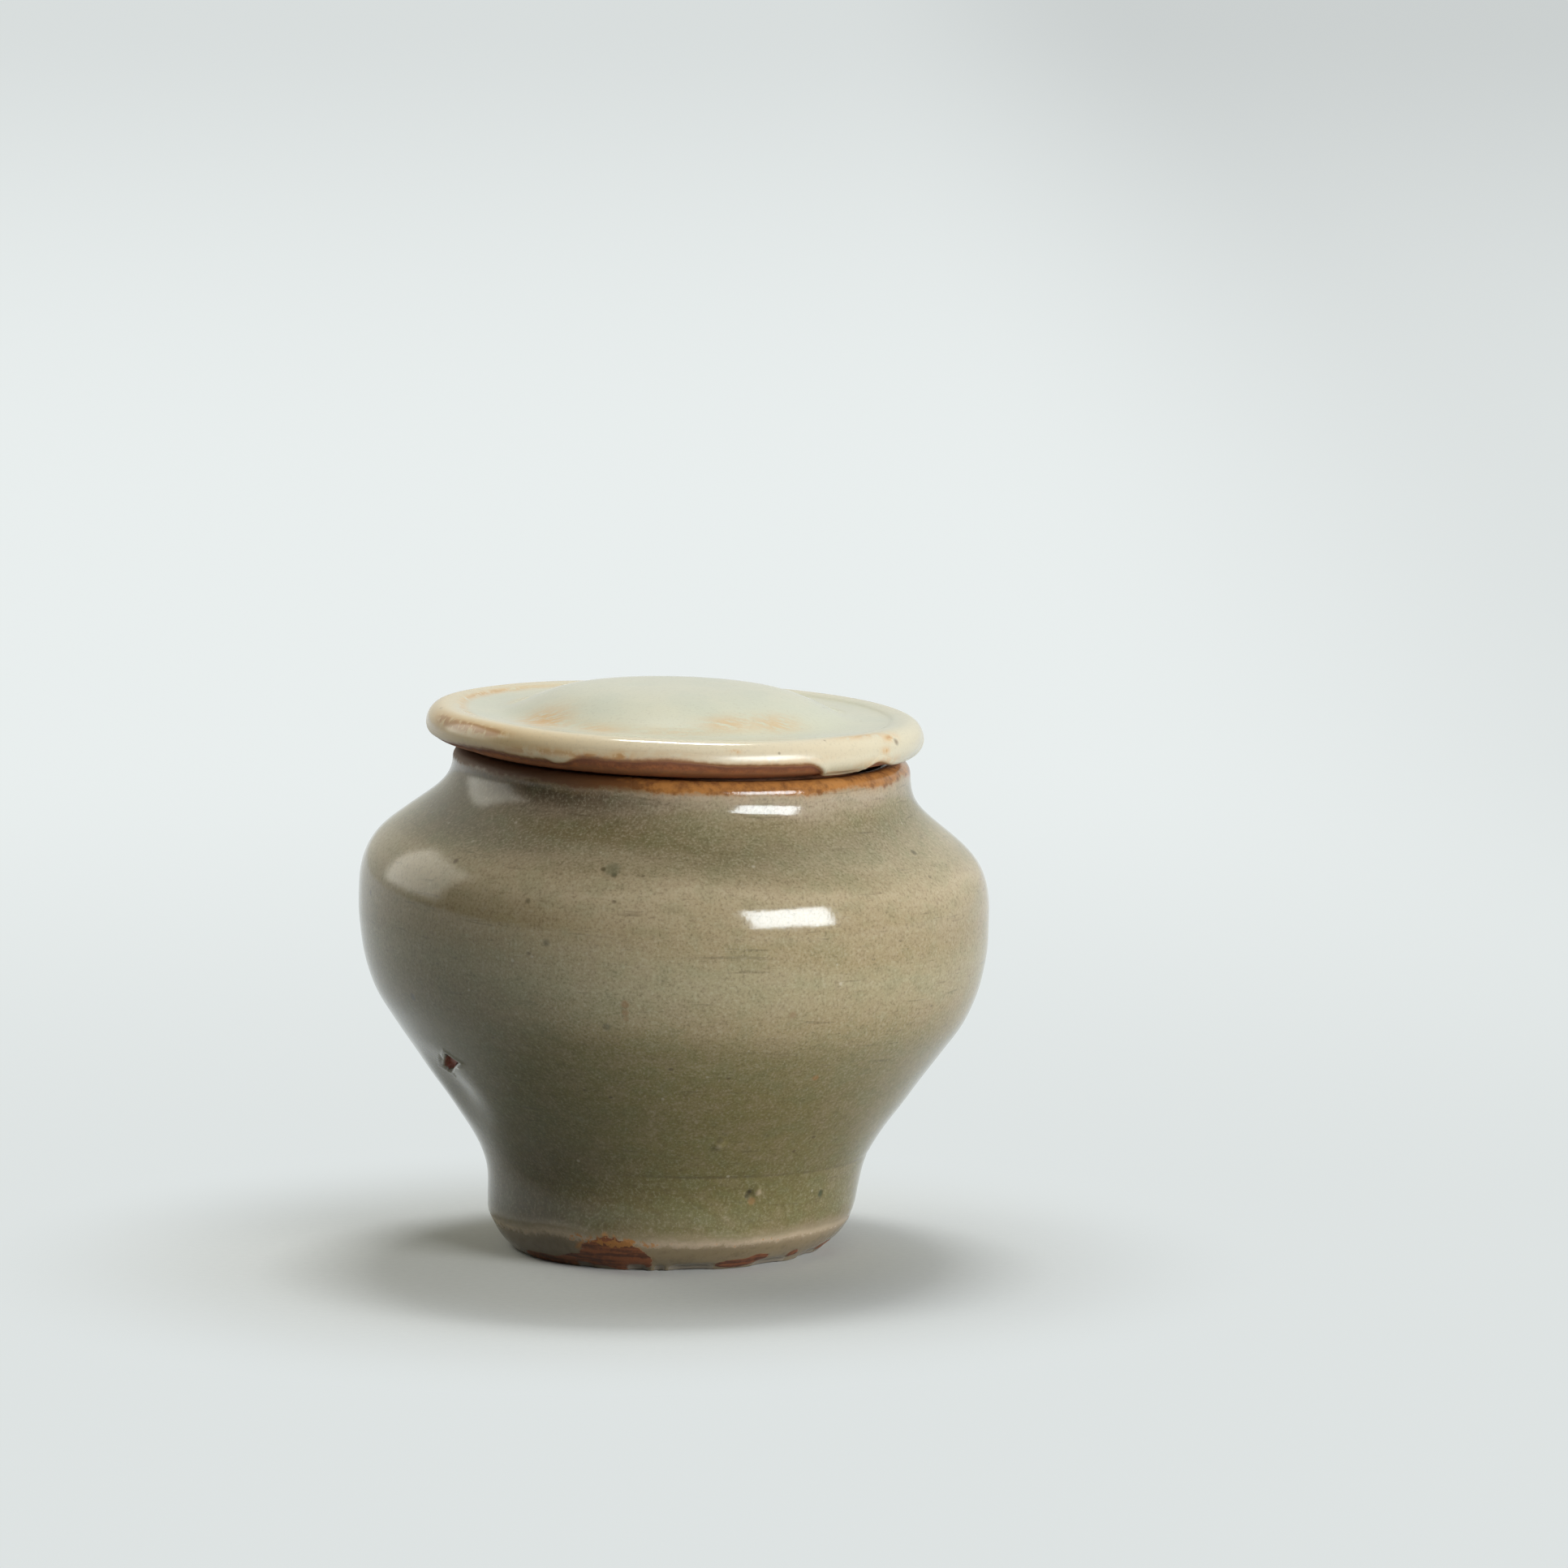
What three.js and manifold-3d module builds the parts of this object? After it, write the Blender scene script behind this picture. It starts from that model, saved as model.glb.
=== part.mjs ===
// A small thrown celadon jar with a loose lid. Two fired pieces: the jar, and a lid whose flange
// drops into the mouth. Millimetres, +Z up. The origin is on the table under the middle of the
// belly, and +X is to the right of someone who looks along +Y.
import * as THREE from 'three';
import { mergeVertices } from 'three/addons/utils/BufferGeometryUtils.js';
import Module from 'manifold-3d';

const wasm = await Module();
wasm.setup();

// Heights of the jar, each counted from the feature below it
const footBevelHeight = 5.2;
const ridgeRound = 1.3;
const bellyRise = 48.2;
const shoulderRise = 13.0;
const neckRise = 9.3;
const rimRound = 1.5;

// Radii of the jar's outside
const footRadius = 29.1;
const footBevelInset = 4.5;
const bellyRadius = 49.9;
const neckRadius = 35.9;

// Thickness of the jar
const wall = 4.8;
const floorThickness = 6.5;
const floorRound = 8.0;
const footRingWidth = 7.0;
const footRecessDepth = 2.0;
const footRecessFlare = 1.0;

// How the outside curves: shares of each stretch's height that the curve's handles take, the place
// and slope of the wall where it flares out over the foot, and the place and slope of the turn from
// the round shoulder into the hollow under the neck
const footHandle = 0.165;
const flareRise = 19.4;
const flareAcross = 0.395;
const flareSlope = THREE.MathUtils.degToRad(36.4);
const flareHandle = 0.274;
const bellyHandleBelow = 0.268;
const bellyHandleAbove = 0.59;
const turnHandle = 0.5;
const neckHandle = 0.48;
const turnAcross = 0.47;
const turnSlope = THREE.MathUtils.degToRad(51.6);

// How the pot moved in the kiln: its rings lean to the right and its foot and neck are off centre
const kilnLean = THREE.MathUtils.degToRad(2.1);
const leanStartHeight = 3.0;
const leanRampHeight = 9.0;
const footBaseShift = -0.7;
const footRidgeShift = -0.35;
const neckShift = 1.2;

// The lid, its heights counted from the plane that rests on the rim
const lidOverhang = 3.3;
const lipUnderTurn = 2.8;
const lipUnderRise = 0.5;
const lipUnderHeight = 2.8;
const lipTopHeight = 3.05;
const lipTopTurn = 2.8;
const lipInnerDrop = 0.45;
const lipInnerTurn = 2.5;
const plateDip = 0.25;
const plateWidth = 4.4;
const domeRise = 4.85;
const domeLean = THREE.MathUtils.degToRad(0.7);
const lidWall = 4.2;
const flangeDepth = 5.5;
const flangeThickness = 3.5;
const flangeRound = 1.2;

// How the dome and the hollow under it curve: shares of their radius and height
const domeShoulderAcross = 0.71;
const domeShoulderUp = 0.56;
const domeSteepness = 1.2;
const domeFootHandle = 0.12;
const domeShoulderHandle = 0.15;
const crownHandle = 0.62;
const domeLeanFrom = 0.8;
const ceilingFlat = 0.72;
const ceilingDrop = 0.6;

// Clearances between the lid and the jar
const seatGap = 0.3;
const lidOffset = 1.2;
const flangeClearance = 0.9;

// Flaws that show in the shape
const craterHeight = 31.5;
const craterAngle = THREE.MathUtils.degToRad(-147.5);
const craterRadius = 1.8;
const craterDepth = 1.0;
const footChips = [
  { angle: -99, length: 2.4, height: 1.1, depth: 1.2 },
  { angle: -85.5, length: 6.0, height: 1.5, depth: 1.6 },
  { angle: -45, length: 10.0, height: 1.3, depth: 1.8 },
];

// Fineness of the surfaces
const jarSegments = 60;
const lidSegments = 56;

const point = (radius, height) => new THREE.Vector2(radius, height);

// Points of a cubic curve, without its first point, which ends the stretch before it
function curve(from, handleFrom, handleTo, to, steps) {
  return new THREE.CubicBezierCurve(from, handleFrom, handleTo, to).getPoints(steps).slice(1);
}

// Points of a quarter turn between two points, bulging towards their corner
function corner(from, cornerPoint, to, steps) {
  const roundHandle = 0.5523;
  const first = from.clone().lerp(cornerPoint, roundHandle);
  const second = to.clone().lerp(cornerPoint, roundHandle);
  return curve(from, first, second, to, steps);
}

// Each point moved square to the outline by the same distance, to its left
function offsetOutline(points, distance) {
  return points.map((here, index) => {
    const before = points[Math.max(index - 1, 0)];
    const after = points[Math.min(index + 1, points.length - 1)];
    const along = after.clone().sub(before).normalize();
    return point(here.x - along.y * distance, here.y + along.x * distance);
  });
}

// A solid of revolution about Z from an outline that starts and ends on the axis
function turn(outline, segments) {
  const geometry = new THREE.LatheGeometry(outline, segments);
  return geometry.rotateX(Math.PI / 2);
}

// Heights and radii worked out from the sizes above
const ridgeTop = footBevelHeight + ridgeRound;
const bellyHeight = ridgeTop + bellyRise;
const turnHeight = bellyHeight + shoulderRise;
const neckTop = turnHeight + neckRise;
const lipRound = Math.min(rimRound, wall / 2);
const rimTop = neckTop + lipRound;
const flareHeight = ridgeTop + flareRise;
const flareRadius = footRadius + flareAcross * (bellyRadius - footRadius);
const turnRadius = neckRadius + turnAcross * (bellyRadius - neckRadius);
const mouthRadius = neckRadius - wall;
const footBaseRadius = footRadius - footBevelInset;
const floorTop = footRecessDepth + floorThickness;

// The outside of the wall, from just above the foot's ridge to the top of the neck
function outerWall() {
  const waist = point(footRadius, ridgeTop);
  const flare = point(flareRadius, flareHeight);
  const flareRun = point(Math.sin(flareSlope), Math.cos(flareSlope));
  const flareReach = flareRun.multiplyScalar(flareHandle * bellyRise);
  const belly = point(bellyRadius, bellyHeight);
  const shoulder = point(turnRadius, turnHeight);
  const neck = point(neckRadius, neckTop);
  const slope = point(-Math.sin(turnSlope), Math.cos(turnSlope));
  const handle = slope.multiplyScalar(turnHandle * neckRise);
  return [
    waist,
    ...curve(
      waist,
      point(footRadius, ridgeTop + footHandle * bellyRise),
      flare.clone().sub(flareReach),
      flare,
      6,
    ),
    ...curve(
      flare,
      flare.clone().add(flareReach),
      point(bellyRadius, bellyHeight - bellyHandleBelow * bellyRise),
      belly,
      7,
    ),
    ...curve(
      belly,
      point(bellyRadius, bellyHeight + bellyHandleAbove * shoulderRise),
      shoulder.clone().sub(handle),
      shoulder,
      6,
    ),
    ...curve(
      shoulder,
      shoulder.clone().add(handle),
      point(neckRadius, neckTop - neckHandle * neckRise),
      neck,
      5,
    ),
  ];
}

const wallOutline = outerWall();

// The outside radius of the wall at a height
function wallRadiusAt(height) {
  const above = wallOutline.findIndex((here) => here.y >= height);
  const upper = wallOutline[above];
  const lower = wallOutline[above - 1];
  return THREE.MathUtils.mapLinear(height, lower.y, upper.y, lower.x, upper.x);
}

// The foot: a recess under the floor, a flat ring to stand on, a bevel and a rounded ridge
function footOutline() {
  const ringInner = footBaseRadius - footRingWidth;
  const base = point(footBaseRadius, 0);
  const ridge = point(footRadius, footBevelHeight);
  const bevelEnd = ridge.clone().add(base.clone().sub(ridge).setLength(ridgeRound));
  return [
    point(0, footRecessDepth),
    point(ringInner - footRecessFlare, footRecessDepth),
    point(ringInner, 0),
    base,
    bevelEnd,
    ...corner(bevelEnd, ridge, point(footRadius, ridgeTop), 3).slice(0, -1),
  ];
}

// The rim: rounded outside and inside, with a narrow flat that the lid rests on
function rimOutline() {
  const outerTop = point(neckRadius - lipRound, rimTop);
  const innerTop = point(mouthRadius + lipRound, rimTop);
  return [
    ...corner(point(neckRadius, neckTop), point(neckRadius, rimTop), outerTop, 3),
    innerTop,
    ...corner(innerTop, point(mouthRadius, rimTop), point(mouthRadius, neckTop), 3).slice(0, -1),
  ];
}

// The inside: the wall's outline moved in by the wall's thickness, then a rounded floor
function insideOutline() {
  const inner = offsetOutline(wallOutline, wall).reverse();
  const wallPart = inner.filter((here) => here.y > floorTop + floorRound);
  const last = wallPart[wallPart.length - 1];
  const previous = wallPart[wallPart.length - 2];
  const cornerRadius = THREE.MathUtils.mapLinear(floorTop, previous.y, last.y, previous.x, last.x);
  const cornerPoint = point(cornerRadius, floorTop);
  const flat = point(cornerRadius - floorRound, floorTop);
  return [...wallPart, ...corner(last, cornerPoint, flat, 4), point(0, floorTop)];
}

// A closed geometry as a solid for the boolean cuts, with shared corners merged and slivers dropped
function toSolid(geometry) {
  const bare = geometry.clone();
  bare.deleteAttribute('normal');
  bare.deleteAttribute('uv');
  const merged = mergeVertices(bare);
  const kept = [];
  const index = merged.index.array;
  for (let at = 0; at < index.length; at += 3) {
    const [a, b, c] = index.slice(at, at + 3);
    if (a !== b && b !== c && c !== a) kept.push(a, b, c);
  }
  const vertProperties = new Float32Array(merged.attributes.position.array);
  return new wasm.Manifold(new wasm.Mesh({ numProp: 3, vertProperties, triVerts: new Uint32Array(kept) }));
}

// A solid back as a geometry with its own shading normals
function toGeometry(solid) {
  const mesh = solid.getMesh();
  const geometry = new THREE.BufferGeometry();
  geometry.setAttribute('position', new THREE.BufferAttribute(mesh.vertProperties, 3));
  geometry.setIndex(new THREE.BufferAttribute(mesh.triVerts, 1));
  geometry.computeVertexNormals();
  return geometry;
}

// A flattened ball, set on the pot at an angle about the axis: its depth is square to the axis
function scoop(angle, radius, height, size) {
  const ball = new THREE.IcosahedronGeometry(1, 1);
  ball.scale(size.depth, size.length / 2, size.height);
  ball.translate(radius, 0, height);
  return toSolid(ball.rotateZ(angle));
}

// Chips knocked out of the lower edge of the foot
function chippedFoot(solid) {
  return footChips.reduce((left, chip) => {
    const angle = THREE.MathUtils.degToRad(chip.angle);
    return left.subtract(scoop(angle, footBaseRadius, 0, chip));
  }, solid);
}

// One burst pit low on the left side
function cratered(solid) {
  const size = { depth: craterDepth, length: 2 * craterRadius, height: craterRadius };
  return solid.subtract(scoop(craterAngle, wallRadiusAt(craterHeight), craterHeight, size));
}

// Sideways shift of the ring at a height
function ringShift(height) {
  const { smoothstep } = THREE.MathUtils;
  const base = footBaseShift * (1 - smoothstep(height, 0, footBevelHeight));
  const ridge = footRidgeShift * (1 - smoothstep(height, ridgeTop, bellyHeight));
  const neck = neckShift * smoothstep(height, turnHeight, neckTop);
  return base + ridge + neck;
}

// The kiln's work on the jar: rings tilt down to the right above a level foot, and slide sideways
function warpJar(geometry) {
  const position = geometry.attributes.position;
  for (let at = 0; at < position.count; at += 1) {
    const x = position.getX(at);
    const z = position.getZ(at);
    const lean = THREE.MathUtils.smoothstep(z, leanStartHeight, leanStartHeight + leanRampHeight);
    position.setX(at, x + ringShift(z));
    position.setZ(at, z - Math.tan(kilnLean) * lean * x);
  }
  geometry.computeVertexNormals();
  return geometry;
}

function jarBody() {
  const outline = [...footOutline(), ...wallOutline, ...rimOutline(), ...insideOutline()];
  const pot = cratered(chippedFoot(toSolid(turn(outline, jarSegments))));
  const celadon = new THREE.MeshStandardMaterial({ color: 0x86806a, roughness: 0.25, metalness: 0 });
  const mesh = new THREE.Mesh(warpJar(toGeometry(pot)), celadon);
  mesh.name = 'jar_body';
  return mesh;
}

// Radii and heights of the lid that follow from the jar and the sizes above
const lidRadius = neckRadius + lidOverhang;
const flangeRadius = mouthRadius - lidOffset - flangeClearance;
const flangeInner = flangeRadius - flangeThickness;
const lipWidest = lipUnderRise + lipUnderHeight;
const lipTop = lipWidest + lipTopHeight;
const creaseRadius = lidRadius - lipTopTurn - lipInnerTurn;
const creaseHeight = lipTop - lipInnerDrop;
const plateHeight = creaseHeight - plateDip;
const domeRadius = creaseRadius - plateWidth;
const crownHeight = plateHeight + domeRise;
const domeShoulder = point(domeShoulderAcross * domeRadius, plateHeight + domeShoulderUp * domeRise);

// The hollow under the dome and the flange that holds the lid in the mouth
function lidUnderside() {
  const ceiling = crownHeight - lidWall;
  const crown = point(0, ceiling);
  const flangeRoot = point(flangeInner, 0);
  const toe = Math.min(flangeRound, flangeThickness / 2);
  const innerToe = point(flangeInner, toe - flangeDepth);
  const outerToe = point(flangeRadius, toe - flangeDepth);
  const toeMiddle = point((flangeInner + flangeRadius) / 2, -flangeDepth);
  const flatEnd = point(ceilingFlat * flangeInner, ceiling);
  const dropStart = point(flangeInner, ceilingDrop * ceiling);
  return [
    crown,
    ...curve(crown, flatEnd, dropStart, flangeRoot, 7),
    innerToe,
    ...corner(innerToe, point(flangeInner, -flangeDepth), toeMiddle, 2),
    ...corner(toeMiddle, point(flangeRadius, -flangeDepth), outerToe, 2),
    point(flangeRadius, 0),
  ];
}

// The flat that rests on the rim, then the thick lip: round below, widest at its middle, rolled in above
function lidLip() {
  const under = point(lidRadius - lipUnderTurn, lipUnderRise);
  const widest = point(lidRadius, lipWidest);
  const top = point(lidRadius - lipTopTurn, lipTop);
  const crease = point(creaseRadius, creaseHeight);
  return [
    point(Math.min(neckRadius, under.x - lipUnderRise), 0),
    under,
    ...corner(under, point(lidRadius, lipUnderRise), widest, 4),
    ...corner(widest, point(lidRadius, lipTop), top, 4),
    ...corner(top, point(creaseRadius, lipTop), crease, 3),
  ];
}

// The plate inside the lip, which dips a little, and the low broad dome
function lidTop() {
  const crease = point(creaseRadius, creaseHeight);
  const domeFoot = point(domeRadius, plateHeight);
  const crown = point(0, crownHeight);
  const run = domeFoot.x - domeShoulder.x;
  const rise = domeShoulder.y - domeFoot.y;
  const slope = point(-run, domeSteepness * rise).setLength(domeShoulderHandle * domeRadius);
  const footHandleEnd = point((1 - domeFootHandle) * domeRadius, plateHeight);
  const crownHandleEnd = point(crownHandle * domeShoulder.x, crownHeight);
  return [
    ...curve(
      crease,
      point(creaseRadius - plateWidth / 3, plateHeight),
      point(domeRadius + plateWidth / 3, plateHeight),
      domeFoot,
      3,
    ),
    ...curve(domeFoot, footHandleEnd, domeShoulder.clone().sub(slope), domeShoulder, 6),
    ...curve(domeShoulder, domeShoulder.clone().add(slope), crownHandleEnd, crown, 6),
  ];
}

// The dome leans back to the left against the tilt of the lid, and fades out at the plate
function leanDome(geometry) {
  const position = geometry.attributes.position;
  for (let at = 0; at < position.count; at += 1) {
    const x = position.getX(at);
    const radius = Math.hypot(x, position.getY(at));
    const height = position.getZ(at);
    const fade = 1 - THREE.MathUtils.smoothstep(radius, domeLeanFrom * domeRadius, creaseRadius);
    const share = fade * THREE.MathUtils.smoothstep(height, 0, plateHeight);
    position.setZ(at, height + Math.tan(domeLean) * share * x);
  }
  geometry.computeVertexNormals();
  return geometry;
}

function lid() {
  const outline = [...lidUnderside(), ...lidLip(), ...lidTop()];
  const paleCeladon = new THREE.MeshStandardMaterial({ color: 0xb4b3a2, roughness: 0.25, metalness: 0 });
  const mesh = new THREE.Mesh(leanDome(turn(outline, lidSegments)), paleCeladon);
  mesh.name = 'lid';
  return mesh;
}

// The lid sits square to the leaning rim, a little left of the middle of the mouth
function seatedLid() {
  const seat = new THREE.Group();
  seat.position.set(neckShift - lidOffset, 0, rimTop + Math.tan(kilnLean) * lidOffset + seatGap);
  seat.rotation.y = kilnLean;
  seat.add(lid());
  return seat;
}

const jar = new THREE.Group();
jar.add(jarBody(), seatedLid());

export default jar;
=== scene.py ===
import bpy
import numpy as np
from mathutils import Euler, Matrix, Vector


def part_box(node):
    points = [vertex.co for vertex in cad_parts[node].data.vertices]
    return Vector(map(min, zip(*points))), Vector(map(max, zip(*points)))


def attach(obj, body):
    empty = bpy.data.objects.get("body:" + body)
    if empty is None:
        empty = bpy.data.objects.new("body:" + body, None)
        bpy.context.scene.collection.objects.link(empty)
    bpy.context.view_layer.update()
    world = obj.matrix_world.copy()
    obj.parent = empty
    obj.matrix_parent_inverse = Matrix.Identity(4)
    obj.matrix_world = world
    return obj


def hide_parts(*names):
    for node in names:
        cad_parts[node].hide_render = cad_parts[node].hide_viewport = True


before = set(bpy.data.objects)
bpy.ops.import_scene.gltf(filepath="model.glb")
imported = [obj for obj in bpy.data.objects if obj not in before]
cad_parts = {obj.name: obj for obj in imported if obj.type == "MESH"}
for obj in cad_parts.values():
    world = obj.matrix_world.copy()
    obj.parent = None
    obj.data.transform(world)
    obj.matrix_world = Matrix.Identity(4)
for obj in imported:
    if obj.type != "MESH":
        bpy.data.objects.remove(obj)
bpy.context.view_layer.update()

# The camera
# A long lens a metre and a half from the pot, a little above its rim. The lens looks past the pot,
# up and to the right, so that the pot stands left of and below the middle of the picture.
eye_distance = 1.5
eye_elevation = np.radians(8.8)
aim_height = 0.045
picture_side = 1932
aim_pixel = (830.5, 1185.2)
focal_pixels = 11700
sensor_width = 36

camera_data = bpy.data.cameras.new("camera")
camera_data.sensor_width = sensor_width
camera_data.lens = focal_pixels / picture_side * sensor_width
camera_data.clip_end = 20
camera = bpy.data.objects.new("camera", camera_data)
bpy.context.scene.collection.objects.link(camera)
aim = Vector((0, 0, aim_height))
eye = aim + eye_distance * Vector((0, -np.cos(eye_elevation), np.sin(eye_elevation)))
turn_right = np.arctan2(picture_side / 2 - aim_pixel[0], focal_pixels)
turn_up = np.arctan2(aim_pixel[1] - picture_side / 2, focal_pixels)
look = (aim - eye).to_track_quat("-Z", "Y") @ Euler((turn_up, -turn_right, 0)).to_quaternion()
camera.location = eye
camera.rotation_euler = look.to_euler()
bpy.context.scene.camera = camera

# The jar's shape
# One thrown stoneware pot: foot, bevel, round belly, short neck and rim in a single wall, which
# leaned and slid a little in the kiln. Its lengths are in millimetres, and MM is one in metres.
MM = 0.001
foot_bevel_height = 5.2
ridge_round = 1.3
belly_rise = 48.2
shoulder_rise = 13.0
neck_rise = 8.9
rim_round = 1.9
foot_radius = 29.1
foot_bevel_inset = 4.5
belly_radius = (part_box("jar_body")[1][0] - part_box("jar_body")[0][0]) / 2 / MM
neck_radius = 35.9
wall = 4.8
floor_thickness = 6.5
floor_round = 8.0
foot_ring_width = 7.0
foot_recess_depth = 2.0
foot_recess_flare = 1.0
foot_handle = 0.165
flare_rise = 19.4
flare_across = 0.395
flare_slope = np.radians(36.4)
flare_handle = 0.274
belly_handle_below = 0.268
belly_handle_above = 0.59
turn_across = 0.47
turn_slope = np.radians(51.6)
turn_handle = 0.5
neck_handle = 0.48
edge_softness = 0.3
kiln_lean = np.radians(2.1)
lean_start, lean_end = 3.0, 12.0
foot_base_shift = -0.7
foot_ridge_shift = -0.35
neck_shift = 1.2

ridge_top = foot_bevel_height + ridge_round
belly_height = ridge_top + belly_rise
turn_height = belly_height + shoulder_rise
neck_top = turn_height + neck_rise
rim_top = neck_top + rim_round
mouth_radius = neck_radius - wall
foot_base_radius = foot_radius - foot_bevel_inset
floor_top = foot_recess_depth + floor_thickness


def curve(start, start_handle, end_handle, end, count=120):
    """Points of a cubic curve: each is a blend of the four given ones. The first is left out."""
    t = np.linspace(0, 1, count + 1)[1:, None]
    s = 1 - t
    corners = [np.array(c, float) for c in (start, start_handle, end_handle, end)]
    return s**3 * corners[0] + 3 * s * s * t * corners[1] + 3 * s * t * t * corners[2] + t**3 * corners[3]


def corner(start, corner_point, end, count=24):
    """A quarter turn between two points that bulges towards their corner."""
    start, middle, end = (np.array(p, float) for p in (start, corner_point, end))
    bulge = 0.5523
    return curve(start, start + bulge * (middle - start), end + bulge * (middle - end), end, count)


def smooth(values, low, high):
    """0 below low, 1 above high, and a smooth step between."""
    t = np.clip((values - low) / (high - low), 0, 1)
    return t * t * (3 - 2 * t)


def hump(values, centre, width):
    """A bell of height 1 at centre."""
    return np.exp(-(((values - centre) / width) ** 2))


def outer_wall():
    """The outside from the foot's ridge to the neck, as four curves that run into each other: out
    to the flare, on to the belly, over the shoulder, and up the hollow under the rim."""
    upward = np.array([0, 1])
    waist = np.array([foot_radius, ridge_top])
    flare = np.array([foot_radius + flare_across * (belly_radius - foot_radius), ridge_top + flare_rise])
    belly = np.array([belly_radius, belly_height])
    turn = np.array([neck_radius + turn_across * (belly_radius - neck_radius), turn_height])
    neck = np.array([neck_radius, neck_top])
    flare_step = flare_handle * belly_rise * np.array([np.sin(flare_slope), np.cos(flare_slope)])
    turn_step = turn_handle * neck_rise * np.array([-np.sin(turn_slope), np.cos(turn_slope)])
    return np.vstack([
        curve(waist, waist + foot_handle * belly_rise * upward, flare - flare_step, flare, 200),
        curve(flare, flare + flare_step, belly - belly_handle_below * belly_rise * upward, belly, 200),
        curve(belly, belly + belly_handle_above * shoulder_rise * upward, turn - turn_step, turn),
        curve(turn, turn + turn_step, neck - neck_handle * neck_rise * upward, neck),
    ])


def jar_outline():
    """Radius and height round the whole wall, from the axis under the foot to the axis inside."""
    wall_points = outer_wall()
    ring_inner = foot_base_radius - foot_ring_width
    base = np.array([foot_base_radius, 0])
    ridge = np.array([foot_radius, foot_bevel_height])
    bevel_end = ridge + ridge_round * (base - ridge) / np.linalg.norm(base - ridge)
    under = [[0, foot_recess_depth], [ring_inner - foot_recess_flare, foot_recess_depth], [ring_inner, 0]]
    foot = np.vstack([under, base, bevel_end, corner(bevel_end, ridge, (foot_radius, ridge_top))])
    outer_top = (neck_radius - rim_round, rim_top)
    inner_top = (mouth_radius + rim_round, rim_top)
    rim = np.vstack([
        corner((neck_radius, neck_top), (neck_radius, rim_top), outer_top),
        [inner_top],
        corner(inner_top, (mouth_radius, rim_top), (mouth_radius, neck_top)),
    ])
    along = np.gradient(wall_points, axis=0)
    along /= np.linalg.norm(along, axis=1)[:, None]
    inside = (wall_points + wall * np.stack([-along[:, 1], along[:, 0]], 1))[::-1]
    inside = inside[inside[:, 1] > floor_top + floor_round]
    slope = (inside[-1] - inside[-9]) / (inside[-1][1] - inside[-9][1])
    turn_in = inside[-1] + slope * (floor_top - inside[-1][1])
    bottom = corner(inside[-1], turn_in, turn_in - [floor_round, 0])
    return np.vstack([foot, wall_points, rim, inside, bottom, [[0, floor_top]]])


def soften(outline, radius, step=0.05):
    """The outline walked in even steps and averaged over about the given radius, with its ends kept."""
    length = np.r_[0, np.cumsum(np.linalg.norm(np.diff(outline, axis=0), axis=1))]
    places = np.arange(0, length[-1], step)
    walked = np.stack([np.interp(places, length, outline[:, i]) for i in (0, 1)], 1)
    reach = int(3 * radius / step)
    weights = hump(np.arange(-reach, reach + 1) * step, 0, radius)
    padded = np.pad(walked, ((reach, reach), (0, 0)), mode="edge")
    soft = np.stack([np.convolve(padded[:, i], weights / weights.sum(), "valid") for i in (0, 1)], 1)
    soft[0], soft[-1] = outline[0], outline[-1]
    return places, soft


def crowded(count, low, high, busy):
    """count places from low to high, closer together near each (centre, width, gain) of busy."""
    t = np.linspace(low, high, 20001)
    density = 1 + sum(gain * hump(t, centre, width) for centre, width, gain in busy)
    total = np.r_[0, np.cumsum((density[1:] + density[:-1]) / 2)]
    return np.interp(np.linspace(0, total[-1], count), total, t)


def closed_skin(name, radius, angle, height, bend, attributes):
    """One closed mesh of a turned form. radius and height are rows by columns in millimetres, the
    columns go round the axis by angle, and the first and last rows shrink to a point each. bend
    moves the turned places to where they lie in the end."""
    rows, columns = radius.shape
    turned = np.stack([radius * np.cos(angle), radius * np.sin(angle), height], -1)
    ends = [turned[0].mean(0), turned[-1].mean(0)]
    places = np.vstack([ends[0], turned[1:-1].reshape(-1, 3), ends[1]])
    ring = np.arange(columns)
    after = np.roll(ring, -1)
    first = 1 + (np.arange(rows - 3) * columns)[:, None]
    quads = np.stack([first + ring, first + after, first + columns + after, first + columns + ring], -1)
    last = 1 + (rows - 3) * columns
    cap_low = np.stack([np.zeros(columns, int), 1 + after, 1 + ring], -1)
    cap_high = np.stack([last + ring, last + after, np.full(columns, len(places) - 1)], -1)
    corners = np.r_[cap_low.ravel(), quads.ravel(), cap_high.ravel()]
    sizes = np.r_[np.full(columns, 3), np.full(quads.size // 4, 4), np.full(columns, 3)]
    mesh = bpy.data.meshes.new(name)
    mesh.vertices.add(len(places))
    mesh.vertices.foreach_set("co", (bend(places) * MM).ravel())
    mesh.loops.add(len(corners))
    mesh.loops.foreach_set("vertex_index", corners)
    mesh.polygons.add(len(sizes))
    mesh.polygons.foreach_set("loop_start", np.r_[0, np.cumsum(sizes)[:-1]])
    mesh.polygons.foreach_set("use_smooth", np.ones(len(sizes), bool))
    thrown = mesh.attributes.new("thrown", "FLOAT_VECTOR", "POINT")
    thrown.data.foreach_set("vector", places.ravel())
    for key, values in attributes.items():
        flat = np.r_[values[0].mean(), values[1:-1].ravel(), values[-1].mean()]
        mesh.attributes.new(key, "FLOAT", "POINT").data.foreach_set("value", flat)
    mesh.update(calc_edges=True)
    piece = bpy.data.objects.new(name, mesh)
    bpy.context.scene.collection.objects.link(piece)
    return piece


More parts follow.
